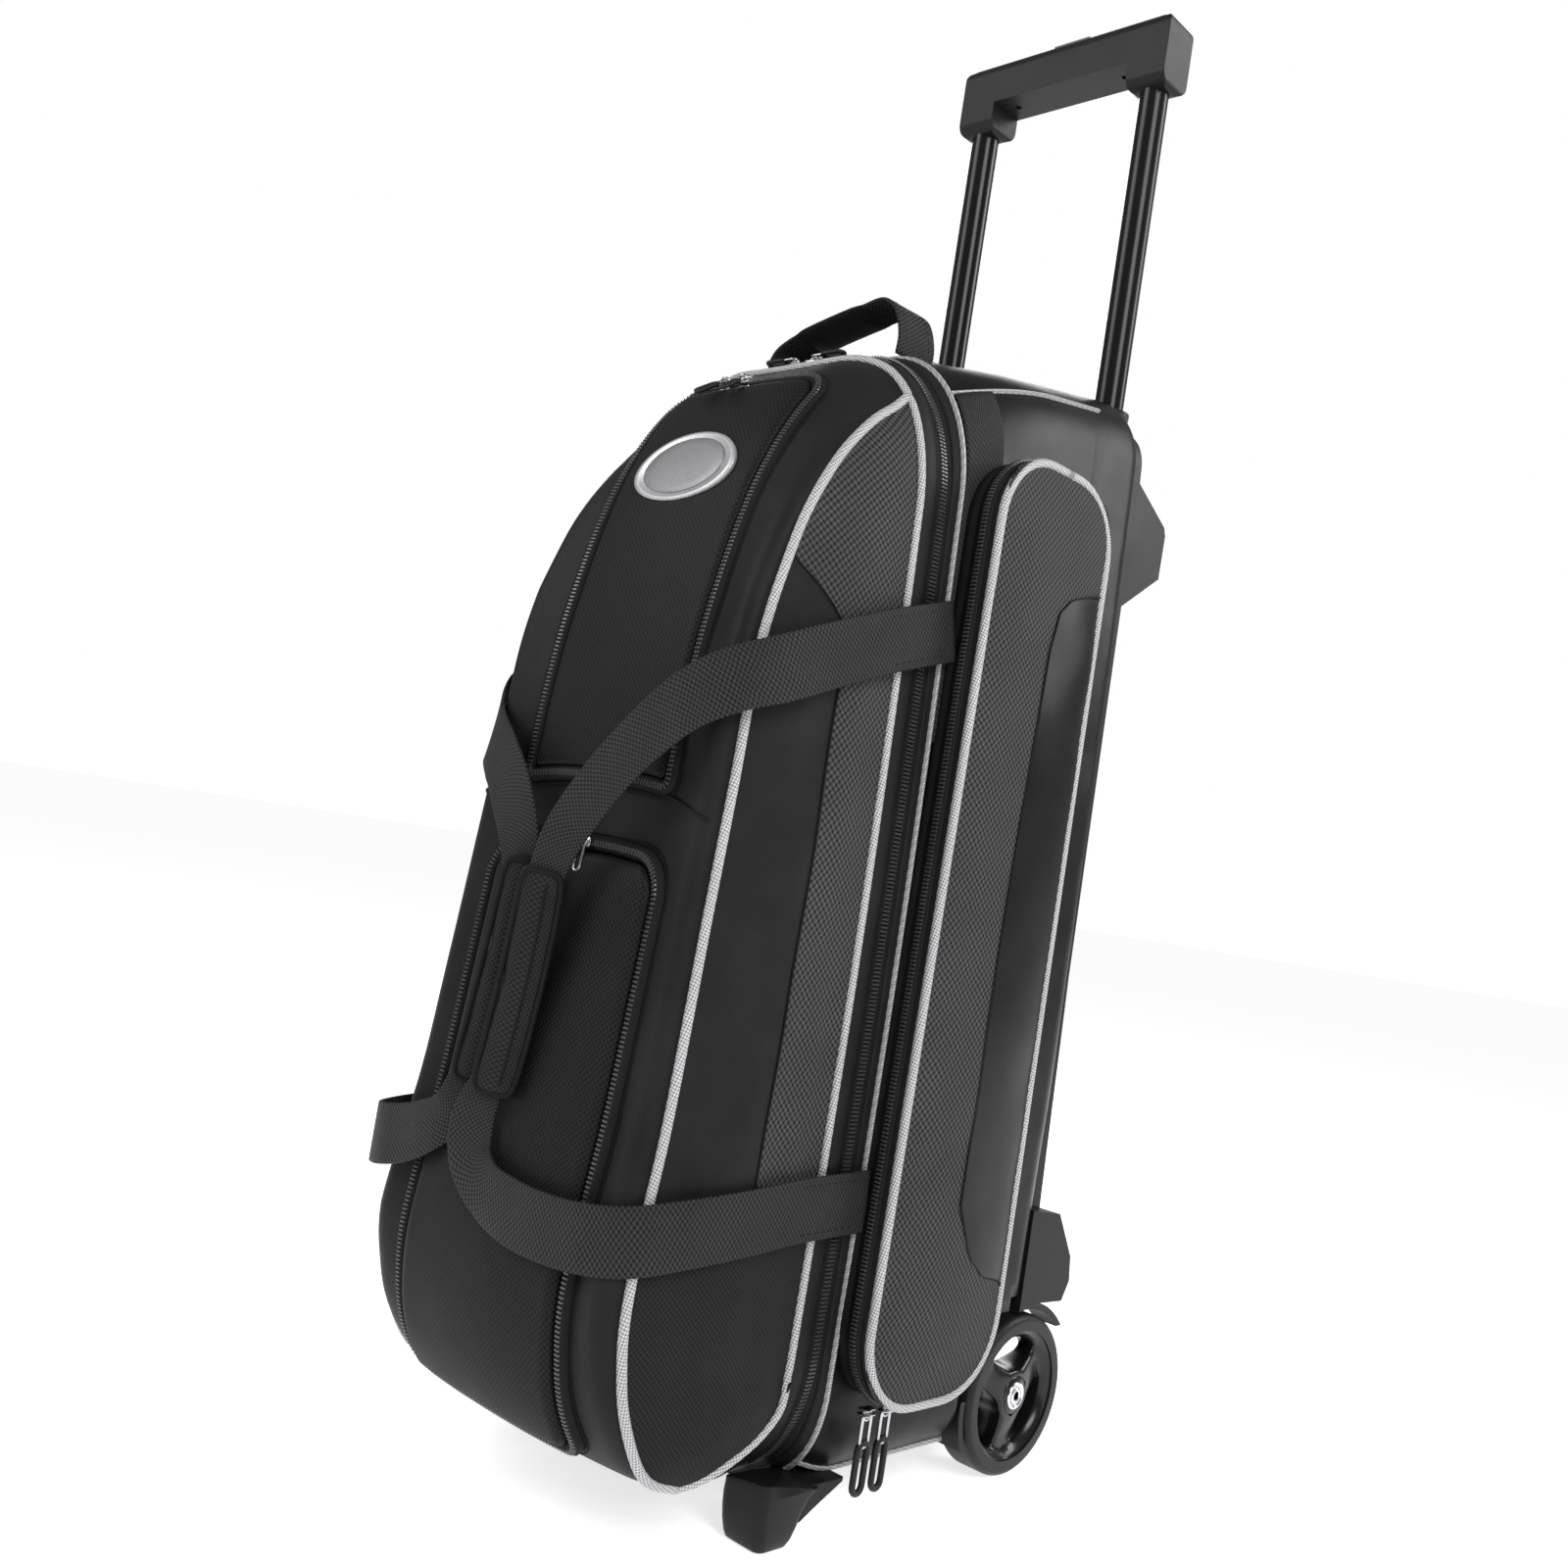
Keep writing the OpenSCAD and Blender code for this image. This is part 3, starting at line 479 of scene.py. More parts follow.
def lined(obj, thickness=1.5 * MM, offset=-1.0):
    """Gives a single sheet its thickness, with its second finish inside."""
    solid = obj.modifiers.new("cloth", "SOLIDIFY")
    solid.thickness = thickness
    solid.offset = offset
    solid.material_offset = 1
    solid.use_quality_normals = True
    return obj


# ---- the shape of the body ----

TOP_CORNER = ((80 * MM, 115 * MM), (50 * MM, 54 * MM))
LOW_CORNER = ((60 * MM, 90 * MM), (30 * MM, 34 * MM))
TOP_EASE = 115 * MM
BROW, BROW_HALF_W = 7 * MM, 105 * MM
SIDE_BELLY = 3.5 * MM
REAR_RIM = 12 * MM
LOW_EASE = 45 * MM
WELL_R, WELL_INNER = 66 * MM, 89 * MM
BODY_MIDDLE = (0, 30 * MM, 390 * MM)
TOP_HALF_W = HALF_W - 4 * MM
LOW_HALF_W = HALF_W - 2 * MM


def corner_size(y, sizes, ease):
    """The corner's width and height, which shrink towards the back."""
    share = math.sin(math.pi / 2 * min(max((y - ZIP_Y) / ease, 0), 1))
    return [front + (back - front) * share for front, back in zip(*sizes)]


def ring(y, grow=0.0):
    """The body's outline at one depth: a closed loop that starts at the top middle."""
    a, b = corner_size(y, TOP_CORNER, TOP_EASE)
    top = body_top(y)
    side_top = top - b
    brow = BROW * min(max((ZIP_Y - y) / (ZIP_Y - LID_PIPING_Y), 0), 1)
    half = [(x, top) for x in np.linspace(0, TOP_HALF_W - a, 9)[:-1]]
    half += arc((TOP_HALF_W - a, side_top), (a, b), 90, 0, 25)
    half = [(x, z - brow * max(0, 1 - (x / BROW_HALF_W) ** 2)) for x, z in half]
    a, b = corner_size(y, LOW_CORNER, LOW_EASE)
    for t in np.linspace(0, 1, 70)[1:-1]:
        z = side_top + t * (BODY_LOW + b - side_top)
        x = TOP_HALF_W + (LOW_HALF_W - TOP_HALF_W) * t + SIDE_BELLY * math.sin(math.pi * t)
        half.append((x, z))
    half += arc((LOW_HALF_W - a, BODY_LOW + b), (a, b), 0, -90, 21)
    half += [(x, BODY_LOW) for x in np.linspace(LOW_HALF_W - a, 0, 9)[1:]]
    half = np.array(half)
    left = half[-2:0:-1] * (-1, 1)
    loop = np.concatenate([half, left])
    if grow:
        ahead = directions(loop, closed=True)
        loop = loop + grow * np.stack([-ahead[:, 1], ahead[:, 0]], axis=1)
    return np.stack([loop[:, 0], np.full(len(loop), y), loop[:, 1]], axis=1)


def right_half(y):
    """The right half of the body's outline at one depth, from the top down."""
    loop = ring(y)
    return loop[:len(loop) // 2 + 1]


def outline_z(y, x, top=True):
    """Height of the body's top, or underside, at a depth and a distance from the middle."""
    half = right_half(y)
    half = half[half[:, 2] > 0.45] if top else half[half[:, 2] < 0.3][::-1]
    half = half[np.concatenate([[True], np.diff(half[:, 0]) > 1e-6])]
    return np.interp(np.abs(x), half[:, 0], half[:, 2])


def loft(name, rows):
    """A mesh through closed loops of points."""
    grid = np.array([np.asarray(r, float) for r in rows])
    count, cols = grid.shape[:2]
    around = np.linalg.norm(np.diff(grid[0], axis=0, append=grid[0][:1]), axis=1)
    u = np.concatenate([[0], np.cumsum(around)[:-1]])
    steps = np.linalg.norm(np.diff(grid, axis=0), axis=2).mean(axis=1)
    v = np.concatenate([[0], np.cumsum(steps)])
    uv = np.stack(np.meshgrid(u, v), axis=2).reshape(-1, 2)
    return make(name, grid.reshape(-1, 3), grid_faces(count, cols, close_cols=True), uv)


def capped(name, rows):
    """A closed solid through loops of points."""
    cols, total = len(rows[0]), len(rows) * len(rows[0])
    return fix_normals(loft(name, rows), caps=(range(cols), range(total - cols, total)))


def face_out(obj, inside):
    """Turns the faces of a sheet so that they look away from a point inside."""
    mesh = obj.data
    score = 0.0
    for polygon in mesh.polygons:
        score += polygon.area * polygon.normal.dot(polygon.center - Vector(inside))
    if score < 0:
        mesh.flip_normals()
    return obj


def puckered(points, amount, size, seed):
    """Points with a slow random lift along the line from the body's middle."""
    points = np.asarray(points, float)
    away = points - BODY_MIDDLE
    away[..., 2] *= 0.15
    return points + unit(away) * (soft_noise(points, size, seed) * amount)[..., None]


def well_cut(points):
    """Draws the lower rear corners in round the wheels."""
    out = points.copy()
    ahead = AXLE_Y - out[:, 1]
    roof = AXLE_Z + np.sqrt(np.maximum(WELL_R ** 2 - ahead ** 2, 0))
    inside = (np.abs(ahead) < WELL_R) & (out[:, 2] < roof) & (np.abs(out[:, 0]) > WELL_INNER)
    out[inside, 0] = np.sign(out[inside, 0]) * WELL_INNER
    return out


def body_row(y, grow=0.0):
    """The body's outline at one depth, with the cloth's slack."""
    row = puckered(ring(y, grow), 1.1 * MM, 0.07, 3)
    row[:, 1] = y
    return row


def rear_body():
    rows = []
    for y in np.concatenate([np.linspace(MAIN_PIPING_Y, 95 * MM, 38), np.linspace(97 * MM, SHELL_BACK, 24)]):
        turned = max(0, 1 - (SHELL_BACK - y) / REAR_RIM)
        rows.append(well_cut(body_row(y, -0.3 * REAR_RIM * turned ** 2)))
    last = rows[-1]
    centre = np.array([0, SHELL_BACK, 0.4])
    rows += [centre + (last - centre) * keep for keep in (0.985, 0.95, 0.8, 0.5, 0.2)]
    total = len(rows) * len(last)
    obj = fix_normals(loft("rear_body", rows), caps=[range(total - len(last), total)], weld=0.02 * MM)
    dress(lined(face_out(obj, (0, 0.05, 0.4))), [COATED, LINING], "bag", "rear_shell", "rear_shell")


def band(name, y0, y1, bulge, grow0, grow1, steps=6):
    """A strip of cloth round the body between two depths."""
    rows = []
    for t in np.linspace(0, 1, steps):
        grow = grow0 + (grow1 - grow0) * t + bulge * math.sin(math.pi * t)
        rows.append(ring(y0 + (y1 - y0) * t, grow))
    return face_out(loft(name, rows), (0, (y0 + y1) / 2, 0.38))


BOX_QUADS = ((3, 2, 1, 0), (4, 5, 6, 7), (0, 1, 5, 4), (1, 2, 6, 5), (2, 3, 7, 6), (3, 0, 4, 7))
TOOTH = ((-1, -1, 0), (1, -1, 0), (1, 1, 0), (-1, 1, 0), (-0.6, -0.8, 1), (0.6, -0.8, 1), (0.6, 0.8, 1),
         (-0.6, 0.8, 1))


def small_boxes(name, boxes):
    """One object from many eight-cornered boxes."""
    faces = [tuple(8 * i + k for k in quad) for i in range(len(boxes)) for quad in BOX_QUADS]
    verts = np.concatenate(boxes)
    return make(name, verts, faces, np.zeros((len(verts), 2)), smooth=False)


def teeth_along(name, path, normal, offset, size=(1.7 * MM, 3.0 * MM, 1.3 * MM), pitch=2.5 * MM, closed=False):
    """Zipper coil: one small rounded bar across the path at each pitch."""
    path = np.asarray(path, float)
    if closed:
        path = np.concatenate([path, path[:1]])
        normal = np.concatenate([normal, normal[:1]])
    length = lengths(path)
    at = np.arange(0, length[-1], pitch)
    p, n = columns(at, length, path), columns(at, length, normal)
    d = directions(p)
    n = unit(n - d * np.sum(n * d, axis=1, keepdims=True))
    a = np.cross(d, n)
    boxes = [[p[i] + d[i] * x * size[0] / 2 + a[i] * (offset + y * size[1] / 2) + n[i] * z * size[2]
              for x, y, z in TOOTH] for i in range(len(p))]
    return fix_normals(small_boxes(name, boxes))


def ring_normals(loop):
    """The way outwards at each point of a body outline."""
    ahead = directions(loop, closed=True)
    return np.stack([-ahead[:, 2], np.zeros(len(loop)), ahead[:, 0]], axis=1)


def main_zipper():
    """The zipper round the bag: on each side of it a band of cloth, a tape and a row of coil."""
    seam, gap = 0.8 * MM, 0.4 * MM
    loop = ring(ZIP_Y, -1.2 * MM)
    for body, shell, y_band, y_tape, bulge, grow, way in (
            ("lid", "lid_shell", (LID_PIPING_Y, TAPE_FRONT + seam), (TAPE_FRONT, ZIP_Y - gap), 1.2, (-0.4, -1.4), 1),
            ("bag", "rear_shell", (TAPE_BACK - seam, MAIN_PIPING_Y), (ZIP_Y + gap, TAPE_BACK), 0.8, (-1.4, -0.4), -1)):
        name = "lid" if body == "lid" else "body"
        tape = name + "_zip_tape"
        dress(lined(band(name + "_band", *y_band, bulge * MM, 0, 0)), [PLAIN, LINING], body, shell)
        dress(lined(band(name + "_tape", *y_tape, 0, grow[0] * MM, grow[1] * MM), 0.9 * MM), [TAPE, TAPE], body,
              tape, tape)
        dress(teeth_along(name + "_teeth", loop, ring_normals(loop), way * 1.5 * MM, closed=True), TEETH, body, tape)


def seam_cord(name, path, radius, mat, body, slot, *nodes, closed=False, sides=9):
    """A round piping or a thread along a path."""
    path = np.asarray(path, float)
    d = directions(path, closed)
    a = np.cross(d, np.array([0.37, 0.21, 0.9]))
    for i in range(1, len(a)):
        a[i] = a[i - 1] - d[i] * np.dot(a[i - 1], d[i])
    return dress(sweep(name, path, circle(radius, sides), a, closed), mat, body, slot, *nodes)


# ---- the lid ----

# Right front piping: x, y, z in millimetres from the top join to the bottom join
FRONT_EDGE = np.array([
    (100, -88, 697), (101, -100, 686), (102.5, -119, 671), (104, -142, 645), (106, -162, 612),
    (107, -175, 578), (108, -189, 517), (109, -193, 440), (110, -198, 360), (112, -205, 250),
    (114, -213, 190), (116, -217, 146), (116, -213, 116), (116, -206, 92), (115, -191, 65),
    (114, -177, 52), (112, -154, 44)]) * MM
FRONT_EDGE_END = np.array([(112, -154, 44), (109, -120, 42), (104, -87, 46.5)]) * MM
# Middle of the front: y and z, level with the two joins
CENTRE = np.array([
    (-87, 0), (-104, 719), (-120, 706), (-136, 689), (-152, 664), (-165, 634), (-175, 600), (-183, 562),
    (-191, 520), (-197, 470), (-200, 420), (-204, 360), (-209, 300), (-214, 240), (-221, 185),
    (-225, 146), (-223, 112), (-215, 84), (-200, 61), (-183, 47), (-160, 37)]) * MM
CENTRE[0, 1] = body_top(LID_PIPING_Y) - BROW
CENTRE_END = np.array([(-160, 37), (-122, 29), (-87, 26)]) * MM
# Where the side's rear piping runs forward under the lid
REAR_LOW = np.array([(124.4, -90, 84), (122, -102, 68), (119, -122, 55), (115.5, -140, 47), (112, -154, 44)]) * MM
REAR_TAIL = np.array([128.7 * MM, LID_PIPING_Y, 100 * MM])
# How far the rear piping dips onto the lid's front at the top, and over what half width
TOP_DIP, TOP_DIP_HALF_W = 13 * MM, 86 * MM
FRONT_COLS = 61
EDGE_ROWS, END_ROWS = 150, 16
MID_ROW = 80


def ring_part(y, test):
    """The part of the right half of the body's outline at one depth where test holds."""
    return np.array([p for p in right_half(y) if test(p)])


def spread(points, count):
    """A number of points evenly along the smooth curve through a few."""
    return resample(smooth_path(points, 1 * MM), count)


def front_grid():
    """The lid's front as a grid of points, rows from the top seam down and under."""
    edge = np.concatenate([spread(FRONT_EDGE, EDGE_ROWS), spread(FRONT_EDGE_END, END_ROWS)[1:]])
    centre = np.concatenate([spread(CENTRE, EDGE_ROWS), spread(CENTRE_END, END_ROWS)[1:]])
    centre = np.insert(centre, 0, 0, axis=1)
    u = np.linspace(-1, 1, FRONT_COLS)
    rows = []
    for i, (e, c) in enumerate(zip(edge, centre)):
        power = 2.6 + 0.9 * max(0, 1 - i / 30)
        row = c + (e - c) * (np.abs(u) ** power)[:, None]
        row[:, 0] = u * e[0]
        rows.append(row)
    grid = np.array(rows)

    # the front corners stand fuller than the curve across
    along = np.gradient(centre, axis=0)
    out_way = unit(np.stack([0 * along[:, 0], -along[:, 2], along[:, 1]], axis=1))
    if out_way[MID_ROW, 1] > 0:
        out_way = -out_way
    count = np.arange(len(grid))
    fade = np.clip((count - 12) / 26, 0, 1) * np.clip((len(grid) - 18 - count) / 26, 0, 1)
    fullness = np.abs(u) ** 5 * (1 - np.abs(u) ** 12) * 26 * MM
    grid += out_way[:, None] * (fade[:, None] * fullness[None])[..., None]

    # the first and last rows are drawn onto the body's outline, and fade into the rest
    for index, fade, top in ((0, 24, True), (len(grid) - 1, 12, False)):
        x = grid[index, :, 0]
        z = outline_z(LID_PIPING_Y, x, top)
        move = np.stack([0 * x, LID_PIPING_Y - grid[index, :, 1], z - grid[index, :, 2]], axis=1)
        for k in range(fade):
            grid[k if top else index - k] += move * (0.5 + 0.5 * math.cos(math.pi * k / fade))
    grid[1:EDGE_ROWS, -1] = edge[1:EDGE_ROWS]
    grid[1:EDGE_ROWS, 0] = edge[1:EDGE_ROWS] * (-1, 1, 1)
    return grid


FRONT = front_grid()
FRONT_CENTRE = FRONT[:, FRONT_COLS // 2]
FRONT_S = lengths(FRONT_CENTRE)
FRONT_NORMAL = grid_normals(FRONT)
if FRONT_NORMAL[MID_ROW, FRONT_COLS // 2, 1] > 0:
    FRONT_NORMAL = -FRONT_NORMAL


def s_at_height(z):
    """Distance down the lid's middle line to a height."""
    return float(np.interp(-z, -FRONT_CENTRE[:EDGE_ROWS, 2], FRONT_S[:EDGE_ROWS]))


def on_front(x, s, lift=0.0):
    """Points on the lid's front at x across and s down the middle line, raised by lift."""
    x, s, lift = np.broadcast_arrays(np.asarray(x, float), np.asarray(s, float), np.asarray(lift, float))
    row = np.interp(s, FRONT_S, np.arange(len(FRONT_S)))
    r0 = np.clip(row.astype(int), 0, len(FRONT_S) - 2)
    f = (row - r0)[..., None]
    half = FRONT[r0, -1, 0] * (1 - f[..., 0]) + FRONT[r0 + 1, -1, 0] * f[..., 0]
    col = np.clip((x / half + 1) / 2, 0, 1) * (FRONT_COLS - 1)
    c0 = np.clip(col.astype(int), 0, FRONT_COLS - 2)
    g = (col - c0)[..., None]

    def at(table):
        top = table[r0, c0] * (1 - g) + table[r0, c0 + 1] * g
        low = table[r0 + 1, c0] * (1 - g) + table[r0 + 1, c0 + 1] * g
        return top * (1 - f) + low * f

    normal = unit(at(FRONT_NORMAL))
    return at(FRONT) + normal * lift[..., None], normal


def rounded(half_w, s0, s1, corner, count=200, low_corner=None):
    """Closed outline in (x, s) of a rounded rectangle, evenly spaced, from the top middle."""
    low = corner if low_corner is None else low_corner
    half = [(0, s0)]
    half += arc((half_w - corner, s0 + corner), (corner, -corner), 90, 0, 12)
    half += arc((half_w - low, s1 - low), (low, -low), 0, -90, 12)
    half = np.array(half + [(0, s1)])
    return resample_loop(np.concatenate([half, half[-2:0:-1] * (-1, 1)]), count)


def cushion(name, half_w, s0, s1, corner, height, rim, puff, seed, low_corner=None):
    """A raised, crowned panel on the lid's front, with its edge rolled down to the rim."""
    low_corner = corner if low_corner is None else low_corner
    rows, cols = 90, 41
    even = np.linspace(0, 1, rows)
    v = 0.5 * (0.5 - 0.5 * np.cos(math.pi * even)) + 0.5 * even    # closer rows at both ends
    u = np.linspace(-1, 1, cols)
    u = np.sin(u * math.pi / 2) * 0.6 + u * 0.4
    s = s0 + (s1 - s0) * v
    width = np.full(rows, half_w)
    for i, value in enumerate(s):
        for r, gap in ((corner, value - s0), (low_corner, s1 - value)):
            if gap < r:
                width[i] = min(width[i], half_w - r + math.sqrt(max(r * r - (r - gap) ** 2, 0)))
    x = width[:, None] * u[None]
    edge = np.minimum((1 - np.abs(u))[None] * width[:, None],
                      np.minimum(s - s0, s1 - s)[:, None] + 0 * x)
    roll = np.sqrt(np.clip(1 - (1 - np.clip(edge / (7 * MM), 0, 1)) ** 2, 0, 1))
    crown = (1 - (x / half_w) ** 2) * np.sin(math.pi * np.clip((s - s0) / (s1 - s0), 0, 1))[:, None] ** 0.5
    ripple = soft_noise(np.stack([x, s[:, None] + 0 * x, 0 * x], axis=2), 0.06, seed) * 1.2 * MM
    lift = rim + (height - rim) * roll + puff * crown + ripple * np.clip(edge / 0.02, 0, 1)
    points, _ = on_front(x, s[:, None] + 0 * x, lift)
    panel = cloth_panel(name, points, 1.2 * MM, outward=(0, -1, 0))
    free = np.zeros(2 * rows * cols, bool)
    free[:rows * cols] = (edge > 6 * MM).ravel()
    return puff_up(panel, 4 * MM, np.where(~free)[0])


def front_zipper(name, outline, slot, depth):
    """Gusset, coil and two sewing lines round a pocket on the lid's front."""
    path, normal = on_front(outline[:, 0], outline[:, 1])
    d = directions(path, closed=True)
    across = np.cross(normal, d)
    shape = [(-4.6, -1.0), (4.6, -1.0), (4.6, 0.3), (3.6, depth / MM - 0.6), (2.2, depth / MM),
             (-2.2, depth / MM), (-3.6, depth / MM - 0.6), (-4.6, 0.3)]
    flip = np.sign(np.sum(np.cross(d, across) * normal, axis=1).mean())
    shape = np.array(shape) * (MM, flip * MM)
    dress(sweep(name + "_gusset", path, shape, across, closed=True), TAPE, "lid", slot, slot)
    lifted = path + normal * (depth - 0.3 * MM)
    dress(teeth_along(name + "_teeth", lifted, normal, 0.0, (1.5 * MM, 4.2 * MM, 1.2 * MM), 2.6 * MM, closed=True),
          TEETH, "lid", slot, slot)
    for label, side in (("_seam_in", -1), ("_seam_out", 1)):
        thread = path + across * (side * 6.4 * MM) + normal * 0.5 * MM
        seam_cord(name + label, thread, 0.5 * MM, TAPE, "lid", slot, closed=True, sides=6)


LID_EDGE = spread(FRONT_EDGE, EDGE_ROWS)
LID_START = LID_EDGE[0]
SIDE_X_MIN = 90 * MM
REAR_STOP = 16 * MM
REAR_PATH = smooth_path(np.concatenate([
    [LID_START],
    ring_part(LID_PIPING_Y, lambda p: REAR_LOW[0, 2] + REAR_STOP < p[2] < LID_START[2] - 1 * MM and p[0] > SIDE_X_MIN),
    REAR_LOW]), 1 * MM)
LID_REAR = resample(REAR_PATH, EDGE_ROWS)


def side_surface(k, v):
    """The lid's right side, between its rear piping (v 0) and its front piping (v 1)."""
    row = np.clip(k, 0, EDGE_ROWS - 1)
    i = np.clip(row.astype(int), 0, EDGE_ROWS - 2)
    f = (row - i)[..., None]
    back = LID_REAR[i] * (1 - f) + LID_REAR[i + 1] * f
    front = LID_EDGE[i] * (1 - f) + LID_EDGE[i + 1] * f
    p = back + (front - back) * v[..., None]
    gap = np.linalg.norm(front - back, axis=-1)
    p[..., 0] += np.sin(math.pi * v) * np.minimum(gap * 0.075, 6.5 * MM)
    lump = soft_noise(p, 0.07, 21) * 1.3 * MM
    low_folds = np.clip((0.6 - p[..., 2]) / 0.1, 0, 1)
    folds = soft_noise(p * (1, 1, 0.16), 0.020, 24) * 2.0 * MM * low_folds
    p[..., 0] += (lump + folds) * np.sin(math.pi * v) ** 0.5
    return p


def rear_height(rows):
    return LID_REAR[np.clip(rows.astype(int), 0, EDGE_ROWS - 1), 2]


def inset_border(rows):
    """Where the side's woven cloth ends and the plainer piece in front of it starts."""
    z = rear_height(rows)
    upper_end = np.clip((z - 520 * MM) / (35 * MM), 0, 1)
    lower_end = np.clip((205 * MM - z) / (30 * MM), 0, 1)
    return 0.47 + 0.53 * np.maximum(upper_end, lower_end) ** 1.6


def lid_front():
    grid = FRONT.copy()
    dent = soft_noise(grid, 0.075, 11) * 1.4 * MM
    fade = np.clip(1 - np.abs(np.linspace(-1, 1, FRONT_COLS)) ** 6, 0, 1)[None, :]
    row = np.arange(len(grid))
    ends = np.clip(np.minimum(row, row[::-1]) / 12, 0, 1)[:, None]
    grid += FRONT_NORMAL * (dent * fade * ends)[..., None]
    dress(cloth_panel("lid_front", grid, 1.4 * MM, (0, -1, 0)), PLAIN, "lid", "lid_shell", "lid_shell")


def lid_sides():
    """Both sides of the lid: woven cloth, plain cloth below it and let in before it, and the seam between."""
    rows = np.linspace(0, EDGE_ROWS - 1, 170)
    limit = inset_border(rows)
    cols = np.linspace(0, 1, 25)
    weave = side_surface(rows[:, None] + 0 * cols[None], limit[:, None] * cols[None])
    split = int(np.argmin(np.abs(rear_height(rows) - 210 * MM)))
    chosen = np.where(limit < 0.995)[0]
    part = slice(chosen[0] - 1, chosen[-1] + 2)
    v = limit[part][:, None] + (1 - limit[part][:, None]) * cols[None]
    inset = side_surface(rows[part, None] + 0 * cols[None], v)
    for name, points, mat in (("lid_side_", weave[:split + 1], BALLISTIC), ("lid_side_low_", weave[split:], FINE_WEAVE),
                              ("lid_side_inset_", inset, PLAIN)):
        obj = cloth_panel(name + "right", points, 1.4 * MM, (1, 0, 0))
        twin = mirrored(obj, name + "left")
        dress(obj, mat, "lid", "lid_shell", "lid_shell")
        dress(twin, mat, "lid", "lid_shell", "lid_shell")
    seam = side_surface(rows[part], np.minimum(limit[part], 0.999))
    seam[:, 0] += 0.3 * MM
    for side, sign in SIDES:
        seam_cord("lid_side_seam_" + side, seam * (sign, 1, 1), 0.55 * MM, TAPE, "lid", "lid_shell", sides=6)


def lid_low_corner(side, sign):
    """The cloth under the lid's side, from the side's front piping back to the zipper band."""
    rows, cols = 14, 11
    edge = spread(FRONT_EDGE_END, rows)
    outer = spread(np.concatenate([REAR_LOW[::-1], [REAR_TAIL]]), rows)
    rim = ring_part(LID_PIPING_Y, lambda p: 45 * MM < p[2] < REAR_TAIL[2] and p[0] > 0.1)[::-1]
    rim = resample(np.concatenate([edge[-1:], rim[rim[:, 2] > edge[-1][2]], outer[-1:]]), cols)
    across = np.linspace(0, 1, cols)[None, :, None]
    patch = edge[:, None] * (1 - across) + outer[:, None] * across
    patch = patch + np.linspace(0, 1, rows)[:, None, None] ** 1.5 * (rim - patch[-1])[None]
    patch[0] += np.linspace(0, 0.3 * MM, cols)[:, None] * (1, 0, 0)
    corner = cloth_panel("lid_low_corner_" + side, patch * (sign, 1, 1), 1.2 * MM, (sign * 0.6, 0, -0.8))
    dress(corner, PLAIN, "lid", "lid_shell", "lid_shell")


def pipings():
    for side, sign in SIDES:
        front = smooth_path(FRONT_EDGE * (sign, 1, 1), 2.5 * MM)
        seam_cord("front_piping_" + side, front, 3.1 * MM, SILVER, "lid", "lid_piping", "lid_piping")
    top = ring_part(LID_PIPING_Y, lambda p: p[2] > LID_START[2] + 1 * MM)
    dip = TOP_DIP * np.maximum(0, 1 - (top[:, 0] / TOP_DIP_HALF_W) ** 2) ** 1.5
    dipped = on_front(top[:, 0], dip, 0.5 * MM)[0]
    top = np.where(dip[:, None] > 0.2 * MM, dipped, top)
    right = np.concatenate([top, REAR_PATH])
    loop = resample(np.concatenate([(right * (-1, 1, 1))[::-1], right[1:]]), step=2.5 * MM)
    seam_cord("lid_ring_piping", loop, 2.9 * MM, SILVER, "lid", "lid_piping", "lid_piping")
    main = resample_loop(ring(MAIN_PIPING_Y, 0.9 * MM), step=2.5 * MM)
    seam_cord("main_piping", main, 1.9 * MM, SILVER, "bag", "shell_piping", "shell_piping", closed=True)
    depths = {"top": np.linspace(MAIN_PIPING_Y, 106 * MM, 50), "low": np.linspace(MAIN_PIPING_Y, 92 * MM, 50)}
    angles = {"top": np.linspace(46, 42, 50), "low": np.full(50, -50)}
    for side, sign in SIDES:
        for label in ("top", "low"):
            path = np.array([corner_point(y, angle) for y, angle in zip(depths[label], angles[label])])
            seam_cord("edge_piping_%s_%s" % (label, side), path * (sign, 1, 1), 1.7 * MM, SILVER, "bag",
                      "shell_piping", "shell_piping")


def lid_soft_parts():
    lid_front()
    lid_sides()
    for side, sign in SIDES:
        lid_low_corner(side, sign)
    pipings()
    for side, sign in SIDES:
        shoulder_web(side, sign)


def corner_point(y, angle):
    """A point on the body's right top corner (angle above 0) or lower corner, at one depth."""
    turn = math.radians(angle)
    if angle > 0:
        a, b = corner_size(y, TOP_CORNER, TOP_EASE)
        centre = (TOP_HALF_W - a, body_top(y) - b)
    else:
        a, b = corner_size(y, LOW_CORNER, LOW_EASE)
        centre = (LOW_HALF_W - a, BODY_LOW + b)
    a, b = a + 0.8 * MM, b + 0.8 * MM
    return (centre[0] + a * math.cos(turn), y, centre[1] + b * math.sin(turn))


def shoulder_web(side, sign):
    """Webbing sewn over the body's shoulder, just behind the main piping."""
    over = slice(20, 52)
    rows = []
    for y in np.linspace(MAIN_PIPING_Y + 3 * MM, MAIN_PIPING_Y + 36 * MM, 12):
        rows.append((body_row(y)[over] + ring_normals(ring(y))[over] * 1.8 * MM) * (sign, 1, 1))
    web = cloth_panel("shoulder_web_" + side, rows, 1.6 * MM, (sign * 0.8, 0, 0.6))
    dress(web, WEBBING, "bag", "rear_shell", "rear_shell")


